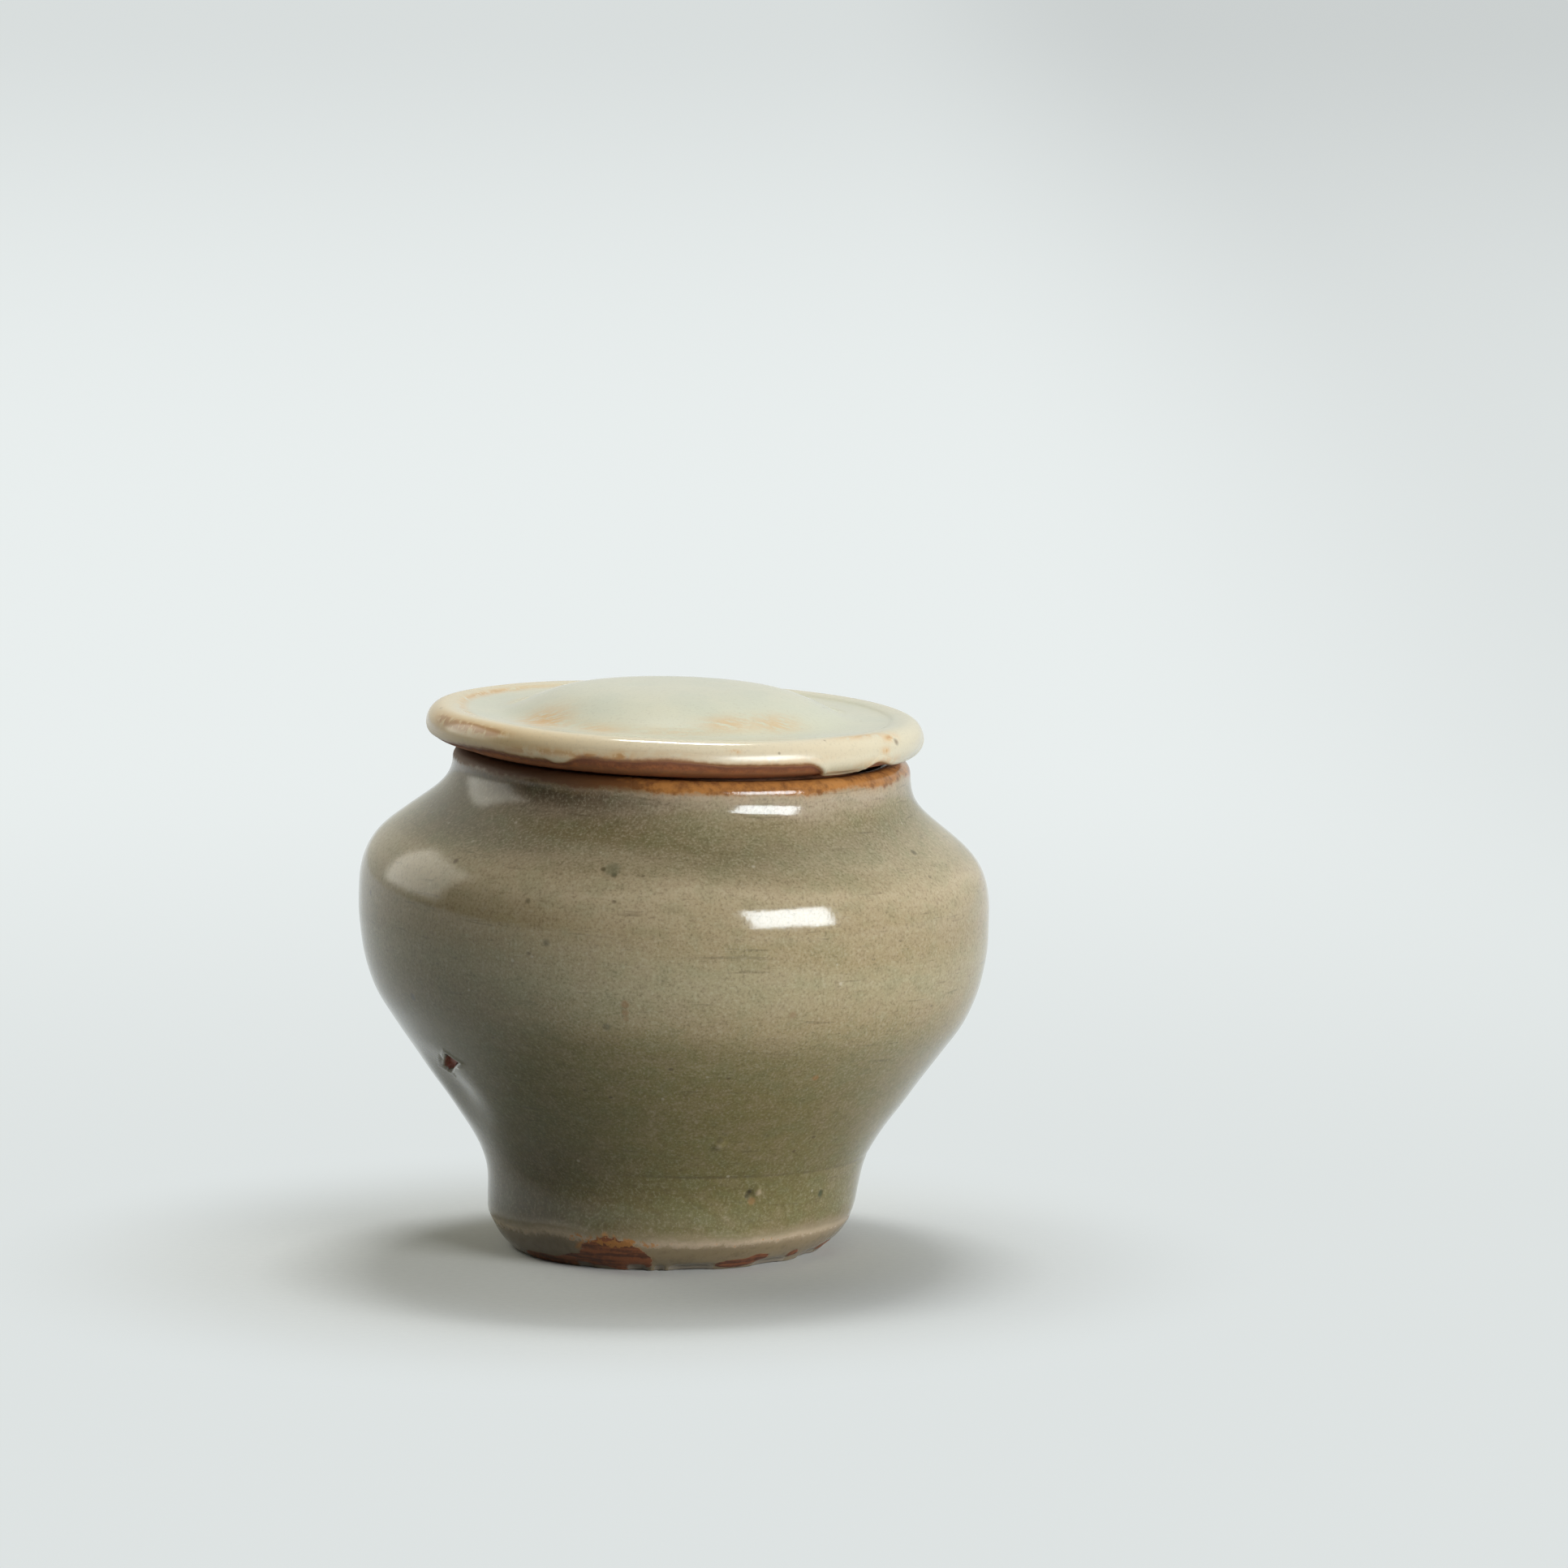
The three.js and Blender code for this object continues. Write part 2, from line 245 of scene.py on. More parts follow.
# Places on the pot are an angle about its axis in degrees, -90 at the front, and a height in mm.
# A chip is an angle, a half length and a depth. A dimple is a place, a radius and a height, below 0
# for a pit. A patch of bare clay is a place, a half length and a half height.
front = -90
crater_at = (-147.5, 31.3)
chips = [
    (-101, 1.5, 0.55), (-93, 0.8, 0.4), (-81.5, 3.2, 0.85), (-50, 3.0, 0.7), (-28.5, 2.4, 0.6),
    (-121, 1.5, 0.3), (15, 3.0, 0.7), (72, 2.2, 0.9), (128, 3.5, 0.6),
]
dimples = [
    (-66.0, 13.2, 0.7, -0.40), (-63.6, 13.5, 0.6, 0.25), (-38.4, 12.1, 0.5, -0.20),
    (-77.9, 21.9, 0.9, 0.35), (-77.9, 23.4, 1.0, -0.15), (-69.5, 21.5, 0.5, 0.22),
    (-103.4, 65.0, 1.1, -0.22), (-98.6, 44.5, 0.6, 0.10), (40.0, 38.0, 0.8, -0.30),
    (97.0, 58.0, 0.9, 0.25), (165.0, 24.0, 0.7, -0.30), (130.0, 49.0, 0.6, -0.20),
]
clay_patches = [
    (-110, 3.1, 5.6, 3.5), (-103, 1.8, 3.6, 2.6), (-123, 1.4, 3.4, 1.5), (-139, 0.8, 6.0, 1.2),
    (-66, 1.1, 3.6, 1.2), (-58, 1.9, 2.0, 1.1), (-42, 1.7, 1.3, 1.0), (-19, 1.4, 3.4, 1.2),
    (20, 1.0, 7.0, 1.2), (95, 2.2, 6.0, 2.2), (150, 0.8, 8.0, 1.0),
]

along, outline = soften(jar_outline(), edge_softness)
base_at = along[np.argmin(np.hypot(outline[:, 0] - foot_base_radius, outline[:, 1]))]
ridge_at = along[np.argmin(np.hypot(outline[:, 0] - foot_radius, outline[:, 1] - foot_bevel_height))]
rim_at = along[np.argmax(outline[:, 1])]
outside = (along > base_at + 0.3) & (along < rim_at - 0.1)


def walk_at(height):
    """How far along the outline, from the axis under the foot, the outside reaches this height."""
    return np.interp(height, outline[outside, 1], along[outside])


def rows_along(along, outline, row_at):
    """Places along an outline as columns of numbers: how far along, the radius and the height there,
    and the radius and height of the arrow of length 1 that points out, square to the outline."""
    slope_r = np.gradient(outline[:, 0])
    slope_z = np.gradient(outline[:, 1])
    length = np.hypot(slope_r, slope_z)
    values = (outline[:, 0], outline[:, 1], slope_z / length, -slope_r / length)
    return [row_at[:, None]] + [np.interp(row_at, along, value)[:, None] for value in values]


def turn_from(degrees):
    """The angle from a place on the pot to each column, up to half a turn either way."""
    return np.angle(np.exp(1j * (angle - np.radians(degrees))))


# Rows and columns crowd at the foot's edges, the rim and the crater, and thin out inside and under
# the jar
jar_row_count = 264
column_count = 360
row_at = crowded(jar_row_count, 0, along[-1], [
    (base_at, 2.5, 3), (ridge_at, 2.5, 2), (walk_at(crater_at[1]), 3.5, 4.0), (rim_at - 3, 5, 1.5),
    (walk_at(17), 9, 0.8), (along[-1] - 50, 45, -0.6), (8, 10, -0.6),
])
angle = np.radians(crowded(column_count + 1, -270, 90, [
    (crater_at[0], 4.5, 4.5), (-66, 20, 0.5), (front, 30, 0.4),
])[:-1])[None, :]
row_along, row_radius, row_height, out_r, out_z = rows_along(along, outline, row_at)
on_wall_share = smooth(row_along, ridge_at, ridge_at + 3) * (1 - smooth(row_along, rim_at - 4, rim_at - 1))


def away_from(degrees, height):
    """Distance to the right of a place on the outside and up the wall from it, in millimetres."""
    return turn_from(degrees) * row_radius, row_along - walk_at(height) + 0 * angle


def waves(phase_seed, count, low, high):
    """A wavy line round the pot: a few sines of whole turns with seeded phases, about 1 high."""
    rng = np.random.default_rng(phase_seed)
    turns = rng.integers(low, high, count)
    phases = rng.uniform(0, 2 * np.pi, count)
    sizes = rng.uniform(0.4, 1, count) / np.sqrt(count)
    return sum(a * np.cos(n * angle + p) for a, n, p in zip(sizes, turns, phases))


# Throwing rings sway up and down round the wall, and a thin line was cut round it above the foot.
# The wall is built up a little, apart from the belly, whose rings stay inside the solid.
ring_sway = 2.0
throwing_rings = [(0.05, 1.9, 0.0), (0.018, 1.0, 1.0), (0.10, 3.4, 2.0)]
wall_build_up = 0.12
belly_give_back = 0.29
belly_give_reach = 12
line_height = 16.0
line_sway = 0.3
line_width = 0.35
line_least_depth = 0.03
line_added_depth = 0.07
line_deepest_at = np.radians(-50)

swaying_height = row_height + ring_sway * np.sin(angle + 0.6)
rings = sum(size * np.sin(swaying_height / pitch + phase) for size, pitch, phase in throwing_rings)
groove_gap = row_along - walk_at(line_height + line_sway * np.cos(angle))
groove_depth = line_least_depth + line_added_depth * smooth(np.cos(angle - line_deepest_at), 0.3, 0.9)
belly_gap = row_along - walk_at(belly_height)
out = rings + wall_build_up - belly_give_back * hump(belly_gap, 0, belly_give_reach)
out = on_wall_share * (out - groove_depth * hump(groove_gap, 0, line_width))

# A stone burst out of the wall and left a four-cornered hole. Its corners are measured to the right
# of the crater's place and up the wall from it, and burst is how deep a point lies inside its edge.
# A broad hollow slides down from the hole, with a sharp brow at the upper right and a few fingers of
# glaze at the left.
hole_corners = np.array([[0.9, 1.7], [2.8, 0.6], [-3.7, -3.0], [-4.8, -2.3]])
hole_spread = 0.22
hole_depth = 1.1
hollow_middle = (-3.6, -6.0)
hollow_radius = 10.5
hollow_depth = 0.85
brow_height = 0.16
finger_height = 0.12
finger_count = 6.5
far_away = 9.0

across, up = away_from(*crater_at)
burst = np.full_like(up, far_away)
for here, there in zip(hole_corners, np.roll(hole_corners, -1, axis=0)):
    edge = (there - here) / np.linalg.norm(there - here)
    burst = np.minimum(burst, (across - here[0]) * edge[1] - (up - here[1]) * edge[0])
burst += hole_spread
hollow_reach = np.hypot((across - hollow_middle[0]) / hollow_radius, (up - hollow_middle[1]) / hollow_radius)
hollow_steepness = 2.5 + 0.8 * smooth(-up, -0.5, 5)
hollow = np.clip(1 - hollow_reach**2, 0, None) ** hollow_steepness
brow = hump(burst, -0.45, 0.35) * smooth(up + across * 0.5, -1.0, 0.6)
fingers = hump(burst, -0.7, 0.6) * smooth(-across, 1.5, 3) * np.sin(finger_count * (up + 0.5 * across))
out -= on_wall_share * hollow_depth * hollow
out += on_wall_share * (brow_height * brow + finger_height * fingers)
out -= on_wall_share * hole_depth * smooth(burst, -0.05, 0.30)
for degrees, height, width, depth in dimples:
    across, up = away_from(degrees, height)
    out += on_wall_share * depth * np.exp(-(np.hypot(across, up) / width) ** 3)

# The glaze ends in wavy lines, at the foot's ridge and under the rim. It beads along the ridge, and
# at the right it runs thicker over the foot and rounds the ridge off.
foot_edge_sway = 0.12
foot_edge_rise = 0.8
foot_edge_rise_at = np.radians(-128)
rim_bare_width = 3.4
rim_edge_sway = 0.30
ridge_bead = 0.10
ridge_rounding = 0.55
foot_swell = 0.30
bevel_swell = 0.25
out_of_round = 0.0016

foot_edge = row_along - ridge_at - foot_edge_sway * waves(3, 7, 2, 30)
foot_edge = foot_edge - foot_edge_rise * hump(angle, foot_edge_rise_at, 0.19)
rim_edge = rim_at - rim_bare_width - rim_edge_sway * waves(5, 6, 2, 24) - row_along
right_side = smooth(np.cos(angle - np.radians(-15)), 0.55, 0.95)
bevel_middle = (base_at + ridge_at) / 2
out += ridge_bead * hump(foot_edge, 0.5, 0.6) * (1 - right_side)
out -= ridge_rounding * hump(foot_edge, 0.2, 2.0) * right_side
out += foot_swell * hump(row_along, walk_at(12), 4.5) * right_side
out += bevel_swell * hump(row_along, bevel_middle, 2.2) * smooth(row_along, base_at, base_at + 1.5)

radius = row_radius + out_r * out
height = row_height + out_z * out
radius *= 1 + out_of_round * np.cos(2 * angle + 0.7) * smooth(row_height, 5, 40)

# Chips knocked out of the foot's lower edge, which lift it a little where they bite
chip_lift = 0.15
above_base = row_along - base_at
chip_reach = np.where(above_base < 0, hump(above_base, 0, 2.2), 1 - smooth(above_base, 0.6, 2.3))
chipped = np.zeros_like(radius)
for degrees, half_length, depth in chips:
    chipped += depth * np.exp(-((turn_from(degrees) * foot_base_radius / half_length) ** 4))
bite = chipped * chip_reach
radius -= bite
height = np.clip(height + chip_lift * bite * smooth(above_base, -1, 0), 0, None)

# Where the glaze missed the foot and the clay shows
clay_share = np.zeros_like(radius)
for degrees, clay_height, half_length, half_height in clay_patches:
    across, up = away_from(degrees, clay_height)
    clay_share += np.exp(-((across / half_length) ** 2 + (up / half_height) ** 2) ** 2)


def kiln_bend(places):
    """The kiln's work: rings above the foot tilt down to the right, and each slides sideways."""
    x, y, z = places.T
    lean = np.tan(kiln_lean) * smooth(z, lean_start, lean_end)
    shift = foot_base_shift * (1 - smooth(z, 0, foot_bevel_height))
    shift += foot_ridge_shift * (1 - smooth(z, ridge_top, belly_height))
    shift += neck_shift * smooth(z, turn_height, neck_top)
    return np.stack([x + shift, y, z - lean * x], 1)


jar = closed_skin("celadon_jar", radius, angle, height, kiln_bend, {
    "walk": row_along + 0 * angle,
    "foot_edge": foot_edge,
    "rim_edge": rim_edge,
    "groove": groove_gap,
    "burst": burst - far_away * (1 - on_wall_share),
    "chipped": bite,
    "clay": clay_share,
})


# The jar's glaze
# An olive grey-green celadon, thick in the hollow under the neck and thin over ridges, with a fine
# green and brown mottle, iron specks, and rust-brown clay where the glaze is thin or missing.
class Wire:
    """A shader socket that takes part in Python arithmetic: each operator adds one Math node."""

    def __init__(self, paint, socket):
        self.paint = paint
        self.socket = socket

    def maths(self, operation, *values):
        return self.paint.node("ShaderNodeMath", {"operation": operation}, *values)

    def __add__(self, other):
        return self.maths("ADD", self, other)

    def __sub__(self, other):
        return self.maths("SUBTRACT", self, other)

    def __rsub__(self, other):
        return self.maths("SUBTRACT", other, self)

    def __mul__(self, other):
        return self.maths("MULTIPLY", self, other)

    def __truediv__(self, other):
        return self.maths("DIVIDE", self, other)

    __radd__ = __add__
    __rmul__ = __mul__

    def step(self, low, high):
        """0 where this value is at low and 1 where it is at high, with a smooth step between."""
        settings = {"interpolation_type": "SMOOTHSTEP"}
        return self.paint.node("ShaderNodeMapRange", settings, self, low, high, 0.0, 1.0)

    def bell(self, centre, width):
        """A smooth hump: 1 at centre, and 0 a width away on both sides."""
        return 1 - self.maths("ABSOLUTE", self - centre).step(0.0, width)


class Paint:
    """The nodes of a material, a lamp or the world, with one method that makes every node."""

    def __init__(self, owner):
        owner.use_nodes = True
        self.owner = owner
        self.tree = owner.node_tree
        self.shader = self.tree.nodes.get("Principled BSDF")

    def node(self, kind, settings, *by_order, out=0, **by_name):
        """A node of this kind: its settings first, then the values or links of its sockets."""
        node = self.tree.nodes.new(kind)
        for key, value in settings.items():
            if key == "stops":
                while len(node.color_ramp.elements) < len(value):
                    node.color_ramp.elements.new(1)
                for element, (place, colour) in zip(node.color_ramp.elements, value):
                    element.position = place
                    element.color = (*colour, 1)
            else:
                setattr(node, key, value)
        named = [(node.inputs[key.replace("_", " ")], value) for key, value in by_name.items()]
        for socket, value in [*zip(node.inputs, by_order), *named]:
            self.feed(socket, value)
        return Wire(self, node.outputs[out])

    def feed(self, socket, value):
        """Links a wire to a socket, or sets the socket to a value; None leaves it as it is."""
        if isinstance(value, Wire):
            self.tree.links.new(value.socket, socket)
        elif value is not None:
            is_colour = socket.type == "RGBA" and len(value) == 3
            socket.default_value = (*value, 1) if is_colour else value

    def outputs(self, wire, *names):
        """Other outputs of the node that a wire comes from."""
        return [Wire(self, wire.socket.node.outputs[name]) for name in names]

    def attribute(self, name, out):
        return self.node("ShaderNodeAttribute", {"attribute_name": name}, out=out)

    def noise(self, places, scale, detail=2.0, roughness=0.5):
        return self.node("ShaderNodeTexNoise", {}, Vector=places, Scale=scale, Detail=detail,
                         Roughness=roughness)

    def specks(self, places, scale, size):
        """Soft round spots in about half of the cells of a grid, each of its own size, up to this
        radius in millimetres; scale is the number of cells to a millimetre."""
        gap = self.node("ShaderNodeTexVoronoi", {"feature": "F1"}, Vector=places, Scale=scale)
        cell = self.node("ShaderNodeSeparateColor", {}, self.outputs(gap, "Color")[0])
        reach = cell.step(0.45, 1.0) * (size * scale) + 0.0001
        return 1 - (gap / reach).step(0.45, 1.0)

    def stretch(self, places, factors, offset=(0, 0, 0)):
        return self.node("ShaderNodeVectorMath", {"operation": "MULTIPLY_ADD"}, places, factors, offset)

    def mix(self, share, first, second):
        """The first colour where share is 0 and the second where it is 1."""
        skipped = [None] * 5
        return self.node("ShaderNodeMix", {"data_type": "RGBA"}, share, *skipped, first, second, out=2)

    def coats(self, ground, *layers):
        """Lays coats over a ground colour in order. Each is its share, from 0 to 1, and its colour."""
        for share, coat in layers:
            ground = self.mix(share, ground, coat)
        return ground

    def distance(self, places, where):
        """The straight distance from each place to the place where, in their own units."""
        return self.node("ShaderNodeVectorMath", {"operation": "DISTANCE"}, places, where, out="Value")

    def near(self, places, where, size):
        """1 at a place on the pot, fading to 0 at this distance in millimetres."""
        return 1 - self.distance(places, where).step(size * 0.35, size)

    def bump(self, height_mm):
        """A bump from a height in millimetres."""
        return self.node("ShaderNodeBump", {}, Strength=1.0, Distance=MM, Height=height_mm)


def on_wall(degrees, height):
    """The place on the turned wall, before the kiln bent it, at an angle and a height."""
    radius_there = np.interp(height, outline[outside, 1], outline[outside, 0])
    turn = np.radians(degrees)
    return (radius_there * np.cos(turn), radius_there * np.sin(turn), height)


paint = Paint(bpy.data.materials.new("celadon_glaze"))
thrown = paint.attribute("thrown", "Vector")
walk = paint.attribute("walk", "Fac")
foot_gap = paint.attribute("foot_edge", "Fac")
rim_gap = paint.attribute("rim_edge", "Fac")
groove_line = paint.attribute("groove", "Fac")
burst_share = paint.attribute("burst", "Fac")
chip_share = paint.attribute("chipped", "Fac")
clay_field = paint.attribute("clay", "Fac")
x_place, y_place, up_wall = paint.outputs(paint.node("ShaderNodeSeparateXYZ", {}, thrown), "X", "Y", "Z")

# Noises of the glaze, from its fine grain to broad clouds, and level, a height that they make wander
grain = paint.noise(thrown, 2.3, 2.0, 0.65)
blotch = paint.noise(paint.stretch(thrown, (1, 1, 1), (31, 7, 5)), 0.8, 3.0, 0.6)
tint = paint.noise(paint.stretch(thrown, (1, 1, 1.5), (5, 9, 2)), 0.22, 2.0, 0.5)
cloud = paint.noise(paint.stretch(thrown, (1, 1, 2.2)), 0.045, 3.0, 0.5)
band_noise = paint.noise(paint.stretch(thrown, (0.12, 0.12, 1)), 0.22, 3.0, 0.55)
level = up_wall + (band_noise - 0.5) * 8 + (cloud - 0.5) * 7

# Bands of colour from the foot to the neck, at their heights in millimetres
lilac = (0.450, 0.370, 0.265)
cove_olive = (0.240, 0.205, 0.105)
shoulder = (0.300, 0.255, 0.145)
beige = (0.500, 0.415, 0.270)
brown = (0.385, 0.305, 0.163)
khaki = (0.425, 0.365, 0.215)
dusk = (0.290, 0.240, 0.110)
olive = (0.230, 0.190, 0.074)
foot_green = (0.200, 0.172, 0.066)
bands = [
    (6.5, foot_green), (16, foot_green), (21, olive), (29, olive), (36, dusk), (42.7, brown),
    (48.3, khaki), (54, brown), (62.3, beige), (67.3, shoulder), (70.4, cove_olive), (72.9, shoulder),
    (75.7, lilac),
]
ramp_top = rim_top + 2.0
glaze = paint.node("ShaderNodeValToRGB", {
    "stops": [(band_height / ramp_top, band_colour) for band_height, band_colour in bands],
}, level / ramp_top)

# Broad marks: the glaze pools darker in the hollow under the neck, and the shoulder is pale at the
# right. Painted shade makes the left of that hollow brown, the pot's left side up to the belly a
# darker green, and the neck brown at the left under the lid. The foot's left side, from its ridge up,
# is brown, partly its dark pool of glaze and partly painted shade. A bell has its place and its reach
# in millimetres, and a step the places where it starts and ends.
cove_shade_brown = (0.150, 0.115, 0.060)
straw = (0.440, 0.380, 0.240)
shade_side_green = (0.110, 0.110, 0.036)
neck_shade_umber = (0.085, 0.060, 0.032)
foot_pool_shade_umber = (0.150, 0.095, 0.040)
ridge_pool_shade_umber = (0.090, 0.070, 0.030)
pool = up_wall.bell(71.5, 5.0) * x_place.step(8.0, 30.0) * (0.6 - y_place * 0.012)
# Painted shade: the left of the hollow under the neck, browner
cove_left_shade = up_wall.bell(69.5, 9.0) * (1 - x_place.step(-22.0, 8.0)) * x_place.step(-50.0, -36.0)
light_shoulder = up_wall.bell(68.0, 5.5) * x_place.step(4.0, 24.0)
# Painted shade: the pot's left side, up to about the belly, darker green
shade_side = (1 - x_place.step(-34.0, 24.0)) * (1 - up_wall.step(44.0, 60.0))
# Painted shade: the neck at the left, under the lid's overhang, dark brown
neck_shade = up_wall.step(70.0, 76.0) * (x_place + y_place * 0.2).bell(-26.0, 25.0)
# The foot's left side, brown in this line and the next: partly its dark pool of glaze, partly painted shade
foot_pool_and_shade = (1 - x_place.step(-26.0, 10.0)) * (1 - up_wall.step(12.0, 26.0))
ridge_pool_and_shade = up_wall.bell(7.0, 7.0) * (1 - x_place.step(-26.0, -4.0)) * (0.4 + cloud)
glaze = paint.coats(
    glaze, (pool * 0.10, cove_olive), (cove_left_shade * 0.45, cove_shade_brown), (light_shoulder * 0.45, straw),
    (shade_side * 0.42, shade_side_green), (neck_shade * 0.9, neck_shade_umber), (foot_pool_and_shade * 0.45, foot_pool_shade_umber),
    (ridge_pool_and_shade * 0.55, ridge_pool_shade_umber),
)

# Mottle, streaks along the throwing rings, the cut line, iron specks, specks of ash, and a greyer
# glaze inside. The noises lie about 0.5, so a step up from there picks out some patches of each and
# a step down the others.
green = (0.190, 0.230, 0.115)
pink_brown = (0.410, 0.300, 0.205)
pale = (0.560, 0.510, 0.370)
dark = (0.085, 0.065, 0.035)
iron_brown = (0.070, 0.045, 0.025)
ash_white = (0.680, 0.630, 0.500)
inside_grey = (0.400, 0.385, 0.290)
pale_grain = 0.22 + up_wall.step(20.0, 48.0) * 0.12
streaks = paint.noise(paint.stretch(thrown, (0.22, 0.22, 2.6)), 0.5, 2.0, 0.6)
line_share = groove_line.bell(0.0, 0.40) * (blotch + cloud - 0.7).step(0.0, 0.4) * x_place.step(-14, 4)
iron = paint.specks(paint.stretch(thrown, (0.8, 0.8, 1.3)), 0.28, 0.50)
iron = iron * (blotch + grain - 0.80).step(0.0, 0.3)
ash = paint.specks(paint.stretch(thrown, (1, 1, 1), (11, 3, 9)), 0.30, 0.42)
inside_share = walk.step(rim_at + 2.0, rim_at + 5.0)
glaze = paint.coats(
    glaze,
    ((tint - 0.5).step(0.0, 0.16) * 0.16, green),
    ((0.5 - tint).step(0.0, 0.16) * 0.14, pink_brown),
    ((blotch - 0.5).step(0.0, 0.25) * 0.14, pale),
    ((0.5 - blotch).step(0.0, 0.25) * 0.16, dark),
    ((grain - 0.5).step(0.0, 0.22) * pale_grain, pale),
    ((0.5 - grain).step(0.0, 0.22) * 0.36, dark),
    ((streaks - 0.62).step(0.0, 0.12) * (blotch * 0.60), dark),
    (line_share * 0.5, dark),
    (iron * 0.6, iron_brown),
    (ash * 0.35, ash_white),
    (inside_share * 0.6, inside_grey),
)

# The glaze thins to rust at the rim, browner at the left as painted shade of the lid, and nearly
# black where the lid sits, partly dark glaze and partly painted shade under the lid
rust = (0.480, 0.205, 0.050)
rust_brown = (0.200, 0.075, 0.020)
rim_black = (0.040, 0.018, 0.008)
rim_left_shade = (0.075, 0.035, 0.014)
rim_tan = (0.480, 0.300, 0.130)
# The left of the front, where the rim and the bevel are painted darker as shade and the rim is duller
left_front = 1 - x_place.step(-22.0, -2.0)
rim_ragged = rim_gap - (blotch - 0.5) * 1.6 - (grain - 0.5) * 0.8
rim_thin = (1 - rim_ragged.step(-0.2, 1.5)) * (1 - inside_share)
rim_bare = (1 - rim_ragged.step(-0.5, 0.4)) * (1 - inside_share)
# Brown mottle on the rim, spread at the left as painted shade
rim_mottle_and_shade = (blotch * 0.6 + tint * 0.5 + left_front * 0.5 - 0.46).step(0.0, 0.26)
seat_shade = rim_gap.bell(-4.4, 1.9)
rim_colour = paint.coats(
    rust, (rim_mottle_and_shade, rust_brown), (seat_shade * 0.85, rim_black), (left_front * 0.7, rim_left_shade),
)
colour = paint.coats(glaze, (rim_thin * 0.30, rim_tan), (rim_bare * 0.92, rim_colour))

# The foot's ridge wears pale, and the bevel under it has a thin brownish glaze, painted darker at
# the left as shade
pink_beige = (0.500, 0.380, 0.260)
bevel_light = (0.390, 0.300, 0.180)
bevel_dark = (0.310, 0.235, 0.135)
bevel_stain = (0.160, 0.110, 0.060)
# Painted shade: the colour of the bevel's left side
bevel_left_shade = (0.170, 0.110, 0.060)
ridge_cream = (0.600, 0.480, 0.340)
ridge_worn = foot_gap + (grain - 0.5) * 0.9 + (blotch - 0.5) * 1.6
front_share = 1 - x_place.step(12.0, 28.0)
ridge_line = ridge_worn.bell(-0.35, 1.15) * (0.25 + blotch) * (0.4 + front_share * 0.6)
ridge_fade = foot_gap.bell(0.0, 2.4) * 0.3
pink_side = foot_gap.bell(-0.5, 4.2) * x_place.step(10.0, 24.0)
below = 1 - foot_gap.step(-0.9, -0.1)
bevel = paint.coats(
    bevel_light, ((cloud - 0.4).step(0.0, 0.25), bevel_dark),
    ((blotch - 0.45).step(0.0, 0.25) * 0.45, bevel_stain), (left_front * 0.6, bevel_left_shade),
)
colour = paint.coats(
    colour, (pink_side * 0.45, pink_beige), (below * 0.85, bevel),
    (ridge_line * 0.85 + ridge_fade, ridge_cream),
)

# Bare clay on the foot, red and brown along the throwing lines, with orange where the glaze thins
# towards it, and grey in the chips
clay_red = (0.330, 0.115, 0.045)
clay_brown = (0.120, 0.045, 0.022)
clay_orange = (0.560, 0.250, 0.070)
fresh_break = (0.400, 0.350, 0.280)
base_clay = (0.200, 0.100, 0.055)
clay_edge = clay_field + (blotch - 0.5) * 0.8 + (grain - 0.5) * 0.15
bare = clay_edge.step(0.44, 0.56)
orange_rim = clay_edge.bell(0.42, 0.26) * clay_field.step(0.05, 0.35) * (blotch + tint - 0.90).step(0.0, 0.2)
orange_rim = orange_rim * foot_gap.step(-3.5, -1.5)
ware_lines = paint.noise(paint.stretch(thrown, (0.12, 0.12, 1.6)), 0.9, 2.0, 0.6)
bare_clay = paint.mix((ware_lines * 0.7 + blotch * 0.4 - 0.5).step(-0.05, 0.15), clay_red, clay_brown)
spotted = (x_place.bell(-9.0, 14.0) + x_place.bell(12.0, 16.0) * 0.4) * foot_gap.bell(-0.5, 1.7)
orange_spots = (blotch * 0.8 + grain * 0.25 - 0.72 + spotted * 0.3).step(0.0, 0.08) * spotted.step(0.05, 0.3)
under_foot = 1 - walk.step(base_at - 1.0, base_at + 0.4)
colour = paint.coats(
    colour, (orange_rim * 0.85, clay_orange), (bare, bare_clay), (orange_spots * 0.8, clay_orange),
    (chip_share.step(0.1, 0.3) * 0.9, fresh_break), (under_foot * 0.85, base_clay),
)

# The crater's hole: painted shadow, nearly black, under its upper right edge, red-brown below, with
# a frayed white edge
frayed_white = (0.600, 0.580, 0.480)
hole_shadow_black = (0.020, 0.008, 0.006)
hole_red = (0.270, 0.070, 0.038)
# Where the painted shadow in the hole is darkest
hole_shadow_at = on_wall(-144.5, 32.4)
ragged = burst_share + (grain - 0.5) * 1.0 + (blotch - 0.5) * 0.4
hole = ragged.step(0.0, 0.10)
frayed = ragged.bell(-0.20, 0.25) * (1 - hole)
from_darkest = paint.distance(thrown, hole_shadow_at)
hole_colour = paint.mix((from_darkest + blotch * 1.6).step(3.0, 5.0), hole_shadow_black, hole_red)
colour = paint.coats(colour, (frayed * 0.7, frayed_white), (hole, hole_colour))

